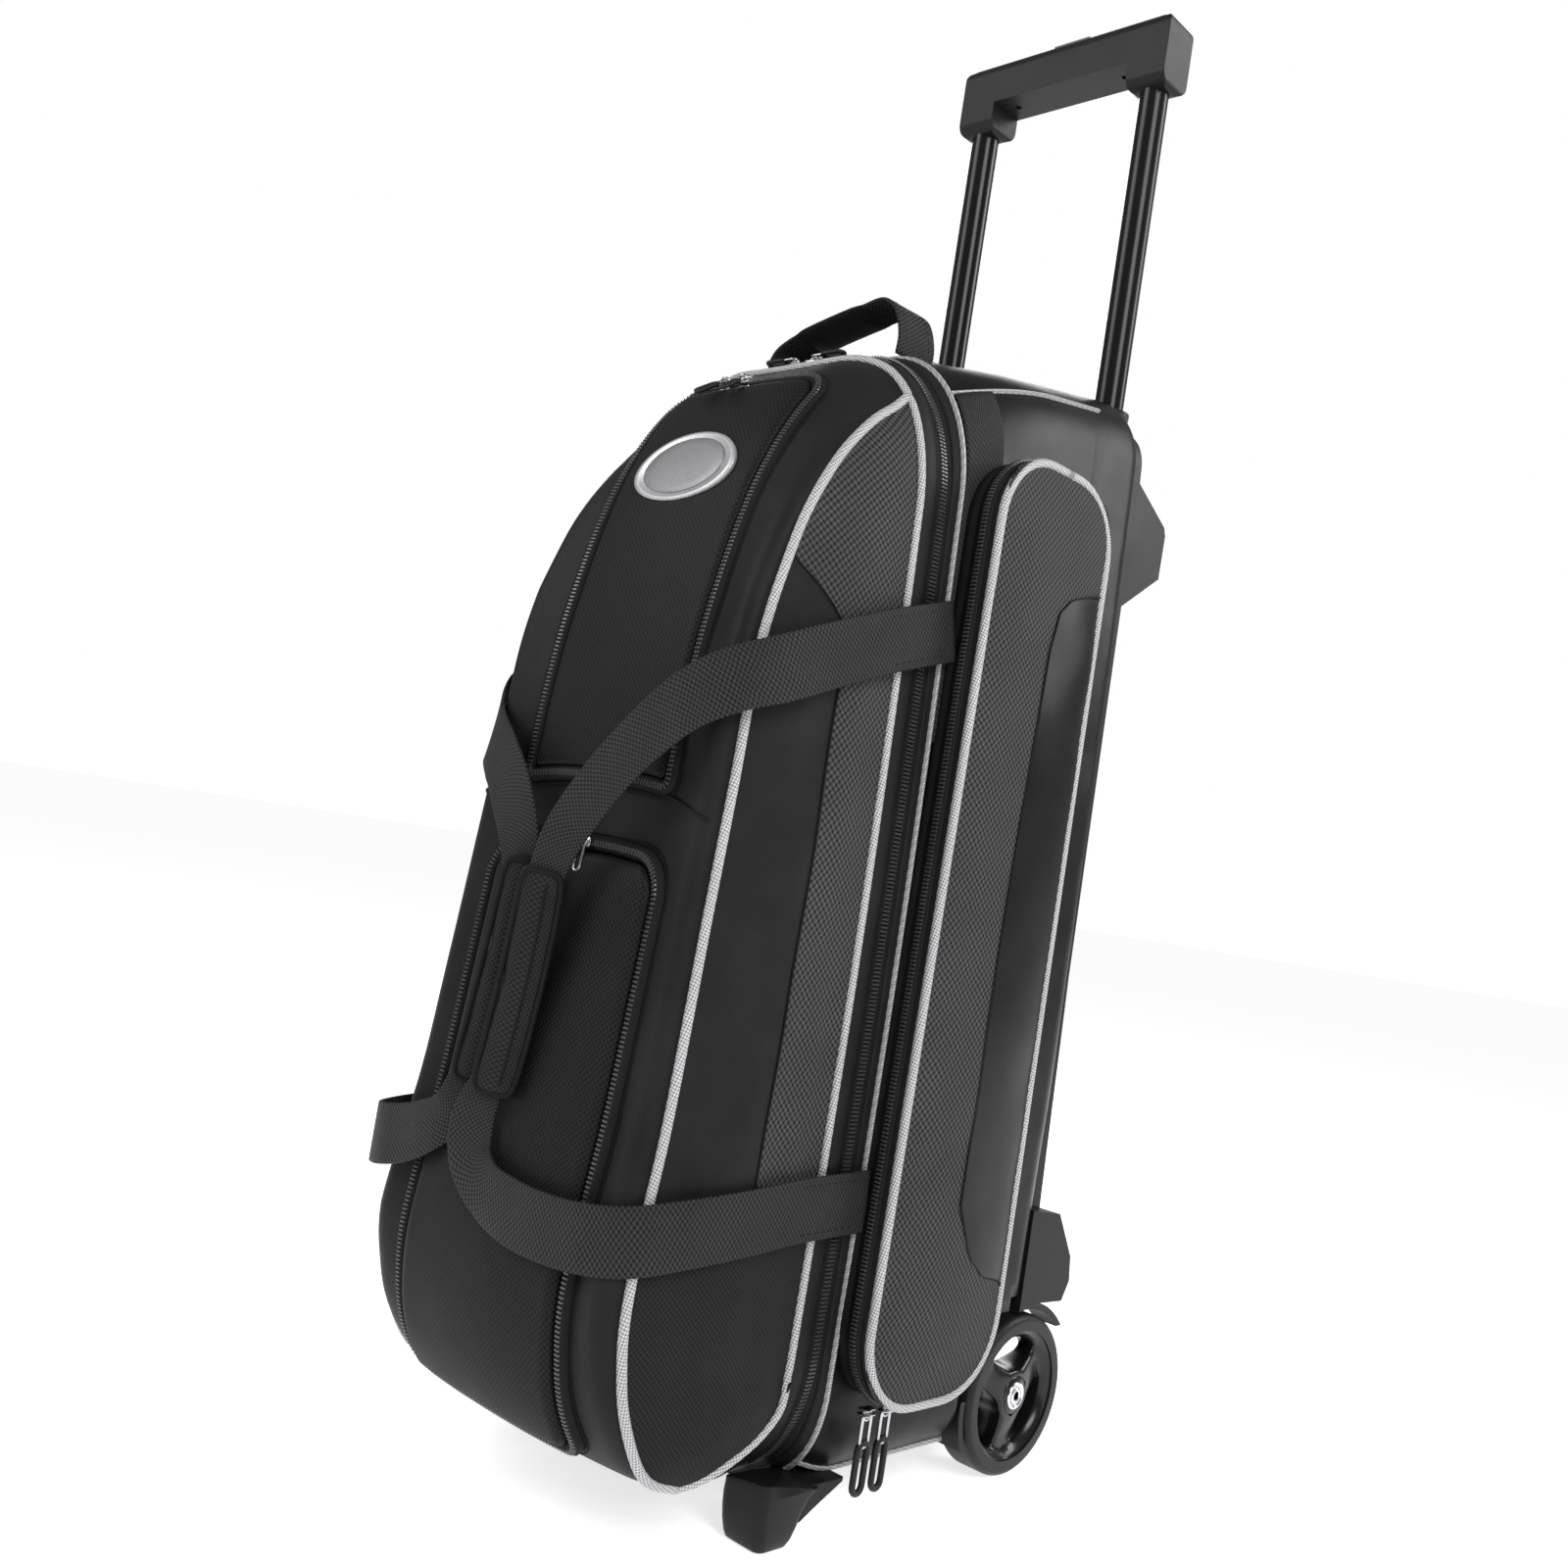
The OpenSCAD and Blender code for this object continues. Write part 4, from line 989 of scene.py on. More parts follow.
def front_pockets():
    s0, s1 = s_at_height(high("accessory_pocket", "z") - 4 * MM), s_at_height(434 * MM)
    half_w = high("accessory_pocket", "x") + 4 * MM
    outline = rounded(half_w - 3 * MM, s0 + 2 * MM, s1, 16 * MM, low_corner=5 * MM)
    front_zipper("accessory_zip", outline, "accessory_zip", 3.6 * MM)
    dress(cushion("accessory_panel", half_w - 8 * MM, s0 + 7 * MM, s1 - 4 * MM, 13 * MM, 5 * MM, 1 * MM,
                  2.0 * MM, 5, low_corner=5 * MM), FINE_WEAVE_BIG, "lid", "accessory_pocket", "accessory_pocket")
    # the seam across the lid below it
    xs = np.linspace(-FRONT[60, -1, 0] + 4 * MM, FRONT[60, -1, 0] - 4 * MM, 60)
    path, _ = on_front(xs, s_at_height(431 * MM) + 3 * MM * (xs / 0.1) ** 2, 0.4 * MM)
    seam_cord("lid_cross_seam", path, 0.9 * MM, TAPE, "lid", "lid_shell", sides=6)

    t0, t1 = s_at_height(high("shoe_pocket", "z")), s_at_height(58 * MM)
    half_w = 82 * MM
    outline = rounded(half_w - 3 * MM, t0, t1, 24 * MM, low_corner=14 * MM, count=240)
    front_zipper("shoe_zip", outline, "shoe_zip", 5.0 * MM)
    dress(cushion("shoe_panel", half_w - 8 * MM, t0 + 5 * MM, t1 - 4 * MM, 20 * MM, 8.5 * MM, 2 * MM, 3.0 * MM,
                  9, low_corner=11 * MM), FINE_WEAVE_BIG, "lid", "shoe_pocket", "shoe_pocket")

    centre_s = s_at_height(632 * MM)
    t = np.linspace(0, 2 * math.pi, 72, endpoint=False)
    outer = np.stack([44 * MM * np.cos(t), centre_s + 25 * MM * np.sin(t)], axis=1)

    def plate(name, mat, profile):
        rings = []
        for scale, lift in profile:
            x, s = outer[:, 0] * scale, centre_s + (outer[:, 1] - centre_s) * scale
            rings.append(on_front(x, s, lift * MM)[0])
        dress(capped(name, rings), mat, "lid", "badge", "badge")

    plate("badge_plate", PALE_PLATE, ((1.0, 5.5), (1.0, 8.2), (0.985, 8.8), (0.90, 8.8), (0.875, 8.2), (0.6, 8.2),
                                      (0.3, 8.2), (0.1, 8.2)))
    plate("badge_field", DARK_PLATE, ((0.80, 7.9), (0.80, 8.7), (0.78, 8.9), (0.6, 9.0), (0.3, 9.1), (0.1, 9.1)))


def slider(name, at, along, out, body, slot, *nodes):
    """A zipper slider: a waisted body with its two plates, and the bridge that holds the pull."""
    along, out = Vector(along).normalized(), Vector(out).normalized()
    across = out.cross(along)
    parts = []
    outline = [(-5.2, 2.0), (-3.6, 3.4), (-0.5, 3.1), (2.5, 4.0), (5.0, 4.6), (5.8, 3.2)]
    outline += [(x, -y) for x, y in reversed(outline)]
    for low_z, high_z, grow in ((-1.2, 0.0, 0.92), (2.0, 3.2, 1.0)):
        verts, n = [], len(outline)
        for z, shrink in ((low_z, 0.94), (low_z + 0.3, 1.0), (high_z - 0.3, 1.0), (high_z, 0.92)):
            for x, y in outline:
                verts.append(Vector(at) + (along * x + across * y) * (grow * shrink * MM)
                             + out * (z * MM))
        faces = [tuple(range(n))[::-1], tuple(range(3 * n, 4 * n))]
        for level in range(3):
            faces += [(level * n + i, level * n + (i + 1) % n, (level + 1) * n + (i + 1) % n, (level + 1) * n + i)
                      for i in range(n)]
        parts.append(make(name + "_p", verts, faces, np.zeros((len(verts), 2)), smooth=False))
    arch = []
    for t in np.linspace(0, math.pi, 13):
        arch.append(np.array(at) + np.array(along) * (-3.6 * math.cos(t) * MM)
                    + np.array(out) * ((2.8 + 3.4 * math.sin(t)) * MM))
    parts.append(sweep(name + "_b", arch, circle(0.9 * MM, 8), np.array(across)))
    neck = [np.array(at) + np.array(out) * (z * MM) + np.array(along) * (3.4 * MM)
            for z in (-0.5, 2.4)]
    parts.append(sweep(name + "_n", neck, circle(1.2 * MM, 8), np.array(across)))
    dress(fix_normals(join(name, parts)), NICKEL, body, slot, *nodes)


def pull(name, at, down, out, length, body, slot, *nodes, tail=True, scale=1.0):
    """A zipper pull: a wire link through the slider's bridge, and a moulded loop on it."""
    down, out = np.array(Vector(down).normalized()), np.array(Vector(out).normalized())
    across = np.cross(out, down)
    at = np.array(at)

    def loop(piece, start, end, half_w, radius):
        outline = arc((end - half_w, 0), (half_w, half_w), -90, 90, 9)
        outline += arc((start + half_w, 0), (half_w, half_w), 90, 270, 9)
        path = resample_loop([at + down * x + across * y for x, y in outline], 33)
        return sweep(piece, path, circle(radius, 8), out, closed=True)

    link_end = length * 0.42 if tail else length
    wire = loop(name, -1.6 * MM * scale, link_end, 2.9 * MM * scale, 0.85 * MM * scale)
    dress(wire, NICKEL, body, slot, *nodes)
    if tail:
        cord = loop(name + "_loop", link_end - 3.2 * MM, length, 3.3 * MM * scale, 1.55 * MM * scale)
        dress(cord, RUBBER, body, slot)


def zipper_heads():
    """The sliders and pulls of the main zipper and of the lid's two pockets."""
    top = body_top(ZIP_Y) + 0.6 * MM
    for side, x, sign in (("left", -28 * MM, -1), ("right", -10 * MM, 1)):
        node, hung = "main_slider_" + side, "main_pull_" + side
        slider(node + "_head", (x, ZIP_Y, top), (-sign, 0, 0), (0, 0, 1), node, "main_slider", node)
        pull(hung + "_link", (x, ZIP_Y, middle(hung, "z")), (sign, 0, 0), (0, 0, 1), 26 * MM, hung, "main_pull",
             hung)
    for i, x in enumerate((-22 * MM, -6 * MM)):
        p, n = on_front(x, s_at_height(high("accessory_pocket", "z") - 6 * MM), 3.4 * MM)
        slider("accessory_slider_%d" % (i + 1), p, (1 if i else -1, 0, 0), n, "lid", "accessory_sliders",
               "accessory_sliders")
        pull("accessory_pull_%d" % (i + 1), p + n * 4.4 * MM, (0.15 if i else -0.15, -0.72, -0.5), n, 24 * MM,
             "accessory_pulls", "accessory_pulls", "accessory_pulls")
    for i, x in enumerate((-8 * MM, 8 * MM)):
        p, n = on_front(x, s_at_height(high("shoe_pocket", "z")), 4.6 * MM)
        slider("shoe_slider_%d" % (i + 1), p, (-1 if i else 1, 0, 0), n, "lid", "shoe_sliders", "shoe_sliders")
        pull("shoe_pull_%d" % (i + 1), p + n * 4.4 * MM, (0, -0.1, -1), n, 18 * MM, "shoe_pulls", "shoe_pulls",
             "shoe_pulls", tail=False)


# ---- side pockets ----

POCKET_X = high("pocket_gusset_right", "x")
POCKET_LOW = low("pocket_gusset_right", "z") + 4 * MM
POCKET_HIGH = high("pocket_gusset_right", "z") + 2 * MM
POCKET_FRONT = (-41 * MM, -48.5 * MM)
POCKET_BACK = 81 * MM
POCKET_PIVOT_Z = 75.6 * MM


def pocket_outline(shrink=0.0, count=220):
    """The pocket's face as a closed loop of (y, z), from the top middle forwards."""
    front_top, front_low = (front + shrink for front in POCKET_FRONT)
    top, foot, back = POCKET_HIGH - shrink, POCKET_LOW + shrink, POCKET_BACK - shrink
    r_top, r_low = 47 * MM - shrink * 0.8, 50 * MM - shrink * 0.8
    pts = [((POCKET_FRONT[0] + back) / 2, top)]
    for y, z, r, start in ((front_top + r_top, top - r_top, r_top, 90), (front_low + r_low, foot + r_low, r_low, 180),
                           (back - r_low, foot + r_low, r_low, 270), (back - r_top, top - r_top, r_top, 0)):
        pts += arc((y, z), (r, r), start, start + 90, 12)
    return resample_loop(pts, count)


def pocket_width_at(z):
    """Front and back edges of the pocket's face at a height."""
    loop = pocket_outline(0, 600)
    near = loop[np.argsort(np.abs(loop[:, 1] - z))[:24], 0]
    return near.min(), near.max()


def pocket_face_x(y, z):
    """How far out the crowned cover stands."""
    y, z = np.broadcast_arrays(np.asarray(y, float), np.asarray(z, float))
    centre_y, half_y = (POCKET_BACK - 45 * MM) / 2, 64 * MM
    centre_z, half_z = (POCKET_HIGH + POCKET_LOW) / 2, (POCKET_HIGH - POCKET_LOW) / 2
    crown = np.clip(1 - np.abs((y - centre_y) / half_y) ** 2.4, 0, 1)
    crown = crown * np.clip(1 - np.abs((z - centre_z) / half_z) ** 6, 0, 1)
    return POCKET_X + (1.5 + 7 * crown) * MM


POCKET_HEIGHTS = np.concatenate([POCKET_LOW + (1 - np.cos(np.linspace(0, math.pi / 2, 14))) * 50 * MM,
                                 np.linspace(POCKET_LOW + 54 * MM, POCKET_HIGH - 50 * MM, 84),
                                 POCKET_HIGH - (1 - np.cos(np.linspace(math.pi / 2, 0, 14))) * 47 * MM])
POCKET_HEIGHTS[[0, -1]] += np.array([1.2, -1.2]) * MM
# The glossy inset's front edge: height and y, in millimetres
INSET_EDGE = np.array([(150, 82), (158, 50), (172, 30), (205, 13), (320, 12), (500, 17), (562, 21), (588, 27),
                       (602, 46), (608, 82)]) * MM
POCKET_CENTRE = (0.02, 0.38)


def pocket_cover(side, sign):
    """The cover's woven cloth, its glossy inset and the seam between them."""
    lid, slot = "pocket_lid_" + side, "pocket_cover"
    front, back = np.array([pocket_width_at(z) for z in POCKET_HEIGHTS]).T
    inset = np.minimum(np.interp(POCKET_HEIGHTS, INSET_EDGE[:, 0], INSET_EDGE[:, 1]), back)
    cols = np.linspace(0, 1, 27)

    def cloth(name, mat, y0, y1, rows):
        y = y0[rows, None] * (1 - cols) + y1[rows, None] * cols
        z = POCKET_HEIGHTS[rows][:, None] + 0 * y
        x = pocket_face_x(y, z)
        x = x + soft_noise(np.stack([y, z, 0 * y], axis=2), 0.055, 31 + sign) * 1.1 * MM
        obj = cloth_panel(name + side, np.stack([x, y, z], axis=2) * (sign, 1, 1), 1.4 * MM, (sign, 0, 0))
        dress(obj, mat, lid, slot, "pocket_cover_" + side)

    cloth("pocket_cloth_", BALLISTIC, front + 0.5 * MM, inset, slice(None))
    inside = np.where(inset < back - 0.3 * MM)[0]
    rows = slice(inside[0] - 1, inside[-1] + 2)
    cloth("pocket_inset_", GLOSSY, inset, back, rows)
    y, z = inset[rows], POCKET_HEIGHTS[rows]
    seam = np.stack([pocket_face_x(y, z) + 0.2 * MM, y, z], axis=1) * (sign, 1, 1)
    seam_cord("pocket_inset_seam_" + side, smooth_path(seam), 0.6 * MM, TAPE, lid, slot, sides=6)


def side_pockets():
    for side, sign in SIDES:
        gusset_node = "pocket_gusset_" + side

        def at_x(x, points):
            """Points of (y, z) as points in space on this side of the bag."""
            return np.insert(points, 0, x, axis=1) * (sign, 1, 1)

        pocket_cover(side, sign)
        seam_cord("pocket_piping_cord_" + side, at_x(POCKET_X + 0.8 * MM, pocket_outline()), 3.0 * MM, SILVER,
                  "pocket_lid_" + side, "pocket_piping", "pocket_piping_" + side, closed=True)
        rows = []
        for x, shrink in ((HALF_W - 3.5 * MM, -0.5), (HALF_W + 3 * MM, -1.2), (HALF_W + 9 * MM, -1.4),
                          (POCKET_X - 8 * MM, -1.2), (POCKET_X - 3 * MM, -0.6), (POCKET_X - 0.6 * MM, 0.6)):
            row = at_x(x, pocket_outline(shrink * MM))
            lump = soft_noise(row, 0.05, 41 + sign) * 0.7 * MM
            row[:, 1:] += lump[:, None] * 0.7
            rows.append(row)
        gusset = face_out(loft("pocket_gusset_cloth_" + side, rows), (sign * (HALF_W + 10 * MM), *POCKET_CENTRE))
        dress(lined(gusset, 1.2 * MM), [PLAIN, LINING], "bag", "pocket_gusset", gusset_node)

        face = pocket_outline(-1.6 * MM)
        zip_x = HALF_W + 13 * MM
        zip_part = np.array([p for p in face[:len(face) // 2 + 4] if p[1] > POCKET_LOW + 0.5 * MM])
        path = at_x(zip_x, zip_part)
        normal = np.cross(directions(path), np.array([sign, 0, 0]))
        if np.sum(normal * (path - (path[:, 0].mean(), *POCKET_CENTRE))) < 0:
            normal = -normal
        strip = np.array([(-5.5, -0.6), (5.5, -0.6), (5.5, 0.5), (-5.5, 0.5)]) * MM
        dress(sweep("pocket_tape_" + side, path, strip, (1, 0, 0)), TAPE, "bag", "pocket_gusset", gusset_node)
        dress(teeth_along("pocket_teeth_" + side, path + normal * 0.5 * MM, normal, 0.0,
                          (1.5 * MM, 4.2 * MM, 1.2 * MM)), TEETH, "bag", "pocket_gusset", gusset_node)
        for i, y in enumerate((-25 * MM, -7 * MM)):
            x = sign * zip_x
            slider("pocket_slider_%s_%d" % (side, i + 1), (x, y, POCKET_LOW - 1.6 * MM), (0, 1 if i else -1, 0),
                   (0, 0, -1), "bag", "pocket_sliders", "pocket_sliders")
            pull("pocket_pull_%s_%d" % (side, i + 1), (x, y, POCKET_PIVOT_Z), (0, 0, -1), (sign, 0, 0), 48 * MM,
                 "pocket_pulls_" + side, "pocket_pulls", "pocket_pulls_" + side, scale=1.35)


# ---- webbing ----

def ribbon(name, points, normals, widths, thickness=2.2 * MM):
    """Webbing along a curve, facing the given normals."""
    points = np.asarray(points, float) * MM
    path = smooth_path(points, 3 * MM)
    keys, at = lengths(points), lengths(path)
    at *= keys[-1] / at[-1]
    across = np.cross(columns(at, keys, np.asarray(normals, float)), directions(path))
    widths = np.interp(at, keys, np.asarray(widths, float) * MM)
    obj = sweep(name, path, [strip_outline(width, thickness) for width in widths], across)
    return obj, path, unit(across)


DASH = ((-1.2, -0.3), (1.2, -0.3), (1.2, 0.3), (-1.2, 0.3))


def stitches(name, path, across, offset, slot):
    """Two rows of thread dashes along webbing, one towards each edge."""
    d = directions(path)
    a = across - d * np.sum(across * d, axis=1, keepdims=True)
    n = np.cross(d, a)
    rows = []
    for label, side in (("a", -1), ("b", 1)):
        boxes = [[path[i] + a[i] * (side * offset + y * MM) + (d[i] * x + n[i] * level * 1.35) * MM
                  for level in (-1, 1) for x, y in DASH] for i in range(1, len(path) - 1, 2)]
        rows.append(dress(small_boxes(name + label, boxes), TAPE, None, slot))
    return rows


STRAP_ROUTES = {
    "right": {
        "upper": [(133.2, -50, 557), (133.4, -75, 549), (133, -110, 537), (131, -150, 521), (126, -184, 506),
                  (112, -209, 494), (92, -220, 481), (72, -225, 464), (49, -228, 441), (31, -231, 417),
                  (18, -234, 394), (9, -236, 366)],
        "lower": [(132.8, -50, 205), (133.3, -75, 204), (133.6, -110, 202), (132, -150, 197), (127, -192, 192),
                  (116, -222, 187), (92, -234, 183), (62, -238, 181), (32, -239, 182), (6, -239, 188),
                  (-12, -239, 203), (-15, -239, 225), (-8, -237, 248)],
    },
    "left": {
        "upper": [(-133.2, -50, 557), (-133.4, -75, 548), (-133.5, -110, 530), (-132, -150, 502),
                  (-126, -178, 480), (-114, -198, 462), (-97, -210, 450), (-79, -217, 439), (-60, -223, 426),
                  (-44, -226, 409), (-30, -229, 392), (-18, -232, 370)],
        "lower": [(-132.8, -50, 205), (-133.8, -80, 204), (-135.4, -120, 200), (-138, -160, 196), (-139, -198, 193),
                  (-132, -224, 191), (-112, -236, 193), (-86, -237, 199), (-64, -237, 208), (-45, -235, 221),
                  (-33, -233, 248)],
    },
}
STRAP_NORMALS = {
    "right": {
        "upper": [(1, 0, 0)] * 3 + [(1, -0.1, 0), (0.9, -0.45, 0.05), (0.5, -0.85, 0.05), (0.15, -1, 0.05),
                  (0, -1, 0), (0.1, -1, 0.1), (0.25, -0.95, 0.1), (0.5, -0.85, 0), (0.6, -0.8, 0)],
        "lower": [(1, 0, 0)] * 3 + [(1, -0.1, 0), (0.9, -0.45, 0), (0.6, -0.8, 0), (0.15, -1, 0), (0, -1, 0),
                  (0, -1, 0), (0.05, -1, -0.1), (0.2, -1, 0), (0.5, -0.85, 0), (0.6, -0.8, 0)],
    },
    "left": {
        "upper": [(-1, 0, 0)] * 3 + [(-1, -0.1, 0), (-0.9, -0.45, 0), (-0.5, -0.85, 0), (-0.15, -1, 0), (0, -1, 0),
                  (0.05, -1, 0), (0.2, -1, 0), (0.45, -0.9, 0), (0.6, -0.8, 0)],
        "lower": [(-1, 0, 0)] * 3 + [(-1, -0.05, 0), (-0.97, -0.25, 0), (-0.75, -0.65, 0), (-0.25, -1, 0),
                  (0, -1, 0), (0.1, -1, 0), (0.4, -0.9, 0), (0.6, -0.8, 0)],
    },
}
PAD_AXES = {"right": ((9, -235.2, 376), (-6, -235.6, 238)), "left": ((-14, -231, 380), (-32, -232, 240))}
PAD_FACING = (0.66, -0.75, 0)


def carry_straps():
    for side in ("right", "left"):
        strap = "strap_" + side
        for part in ("upper", "lower"):
            route = STRAP_ROUTES[side][part]
            taper = [38.0] * (len(route) - 4) + [36.5, 33, 27, 21]
            name = "strap_%s_%s" % (part, side)
            obj, path, across = ribbon(name, route, STRAP_NORMALS[side][part], taper)
            pieces = [dress(obj, WEBBING, None, "strap", strap)]
            pieces += stitches(name + "_stitch_", path[4:22], across[4:22], 14 * MM, "strap")
            for piece in pieces:
                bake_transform(piece)
        grip_pad(side)


def squared_oval(turns, powers):
    """Points round an oval, fuller at its corners than a circle."""
    points = np.stack([np.cos(turns), np.sin(turns)], axis=1)
    return np.copysign(np.abs(points) ** powers, points)


def grip_pad(side):
    """The padded sleeve on a strap: a stuffed roll with a bound, pinched edge and a sewn closing line."""
    top, foot = (np.array(p, float) * MM for p in PAD_AXES[side])
    length = np.linalg.norm(foot - top)
    axis = (foot - top) / length
    deep = np.array(PAD_FACING, float)
    deep = unit(deep - axis * np.dot(deep, axis))
    wide = np.cross(axis, deep)
    rows, cols = 60, 36
    t = np.linspace(0, 1, rows)
    fullness = np.sqrt(1 - (1 - np.minimum(np.minimum(t, 1 - t) * length / (15 * MM), 1)) ** 2)
    half = np.stack([9.0 + 5.0 * fullness, 2.5 + 4.5 * fullness], axis=1) * MM
    oval = squared_oval(2 * math.pi * np.arange(cols) / cols, (0.75, 0.9)) * half[:, None]
    bow = np.sin(math.pi * t) * 2 * MM
    grid = (top + axis * (t * length)[:, None])[:, None] + wide * (oval[..., :1] - bow[:, None, None])
    grid += deep * oval[..., 1:]
    centre_line = grid.mean(axis=1, keepdims=True)
    away = grid - centre_line
    away[[0, -1]] *= 0.55
    away *= (1 + soft_noise(centre_line + away, 0.03, 51) * 0.07)[..., None]
    faces = grid_faces(rows, cols, close_cols=True)
    faces += [tuple(range(cols)), tuple(range((rows - 1) * cols, rows * cols))]
    uv = np.stack(np.meshgrid(np.linspace(0, 0.085, cols), np.linspace(0, length, rows)), axis=2).reshape(-1, 2)
    pad = fix_normals(make("grip_" + side, (centre_line + away).reshape(-1, 3), faces, uv))
    pad = puff_up(pad, 2.5 * MM)
    dress(pad, PLAIN_PAD, "strap_" + side, "grip_pad", "grip_pad_" + side)
    edge = squared_oval(np.linspace(0, 2 * math.pi, 90, endpoint=False), 0.25) * (12.6 * MM, length / 2 - 3.5 * MM)
    bow = 2 * MM * (1 - (edge[:, 1:] / (length / 2)) ** 2)
    loop = (top + foot) / 2 + wide * (edge[:, :1] - bow) - axis * edge[:, 1:] + deep * 5.0 * MM
    seam_cord("grip_binding_" + side, resample_loop(loop, 119), 1.7 * MM, TAPE, "strap_" + side, "grip_pad",
              closed=True)
    seam = [top + axis * (length * t) - wide * (4.5 + 2 * math.sin(math.pi * t)) * MM + deep * 8.6 * MM
            for t in np.linspace(0.07, 0.93, 40)]
    seam_cord("grip_seam_" + side, seam, 0.6 * MM, TAPE, "strap_" + side, "grip_pad", sides=6)


def puff_up(obj, cap, held=()):
    """Inflates a closed cushion with a cloth simulation, within cap of where it started."""
    scene = bpy.context.scene
    start = np.array([v.co for v in obj.data.vertices])
    cloth = obj.modifiers.new("inflate", "CLOTH")
    settings = cloth.settings
    settings.quality = 6
    settings.use_pressure = True
    settings.uniform_pressure_force = 4
    settings.effector_weights.gravity = 0
    settings.tension_stiffness = 12
    settings.bending_stiffness = 0.4
    if len(held):
        pinned = obj.vertex_groups.new(name="sewn")
        pinned.add([int(i) for i in held], 1.0, "REPLACE")
        settings.vertex_group_mass = "sewn"
    for index in range(1, 21):
        scene.frame_set(index)
    graph = bpy.context.evaluated_depsgraph_get()
    done = obj.evaluated_get(graph).data
    moved = np.array([v.co for v in done.vertices])
    obj.modifiers.remove(cloth)
    scene.frame_set(1)
    if moved.shape == start.shape and np.isfinite(moved).all():
        shift = moved - start
        size = np.linalg.norm(shift, axis=1, keepdims=True)
        shift *= np.minimum(1, cap / np.maximum(size, 1e-9))
        for v, co in zip(obj.data.vertices, start + shift):
            v.co = co
    obj.data.update()
    return obj


def top_handle():
    y = middle("top_handle", "y")
    base = body_top(y) / MM
    route = [(-70, -30, base + 3), (-70, -30, base + 11), (-62, -31, base + 20), (-42, -32, base + 28),
             (-14, -33, base + 34), (12, -33, base + 39), (30, -32, base + 42), (43, -31, base + 34),
             (49, -30, base + 17), (49, -30, base + 2)]
    normals = [(-1, 0, 0.1), (-1, 0, 0.3), (-0.7, 0, 0.8), (-0.2, 0, 1), (-0.1, 0, 1), (-0.05, 0, 1), (0.4, 0, 0.9),
               (0.9, 0, 0.3), (1, 0, 0), (1, 0, -0.1)]
    widths = [38, 38, 37, 34, 33, 34, 37, 38, 38, 38]
    obj, path, across = ribbon("top_handle_web", route, normals, widths, 2.4 * MM)
    pieces = [dress(obj, WEBBING, None, "top_handle", "top_handle")]
    pieces += stitches("top_handle_stitch_", path[2:-2], across[2:-2], 12 * MM, "top_handle")
    for piece in pieces:
        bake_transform(piece)
    inner, a = path[12:-22], across[12:-22]
    n = np.cross(directions(inner), a)
    t = np.linspace(0, 1, len(inner))
    full = np.sin(math.pi / 2 * np.minimum(6 * np.minimum(t, 1 - t), 1))
    oval = circle(MM, 28)
    wide = np.outer(17.5 + 1.2 * full, oval[:, 0])[..., None]
    deep = np.outer(2.0 + 1.6 * full, oval[:, 1])[..., None]
    sleeve = fix_normals(loft("top_handle_sleeve", inner[:, None] + a[:, None] * wide + n[:, None] * deep))
    dress(lined(sleeve, 0.8 * MM), [PLAIN, PLAIN], "top_handle", "top_handle", "top_handle")
    handle_tabs(y)


def handle_tabs(y):
    """The two patches of webbing that hold the top handle's ends down."""
    u = np.linspace(-1, 1, 9)
    swell = 1 - np.maximum(np.abs(u[:, None]), np.abs(u)) ** 8
    for side, x in (("left", -70 * MM), ("right", 49 * MM)):
        along, depth = np.meshgrid(x + u * 13 * MM, y + u * 20 * MM, indexing="ij")
        z = np.stack([outline_z(depth[0, i], along[:, i]) for i in range(len(u))], axis=1)
        z += (1.0 + 1.6 * swell) * MM
        tab = cloth_panel("handle_tab_" + side, np.stack([along, depth, z], axis=2), 1.5 * MM, (0, 0, 1))
        dress(tab, WEBBING, "bag", "top_handle")


DIVIDER_Y = -74.5 * MM
DIVIDER_WAIST = 430 * MM
WINDOW_X, WINDOW_R = 65 * MM, 20 * MM
NET_STEP = 6 * MM


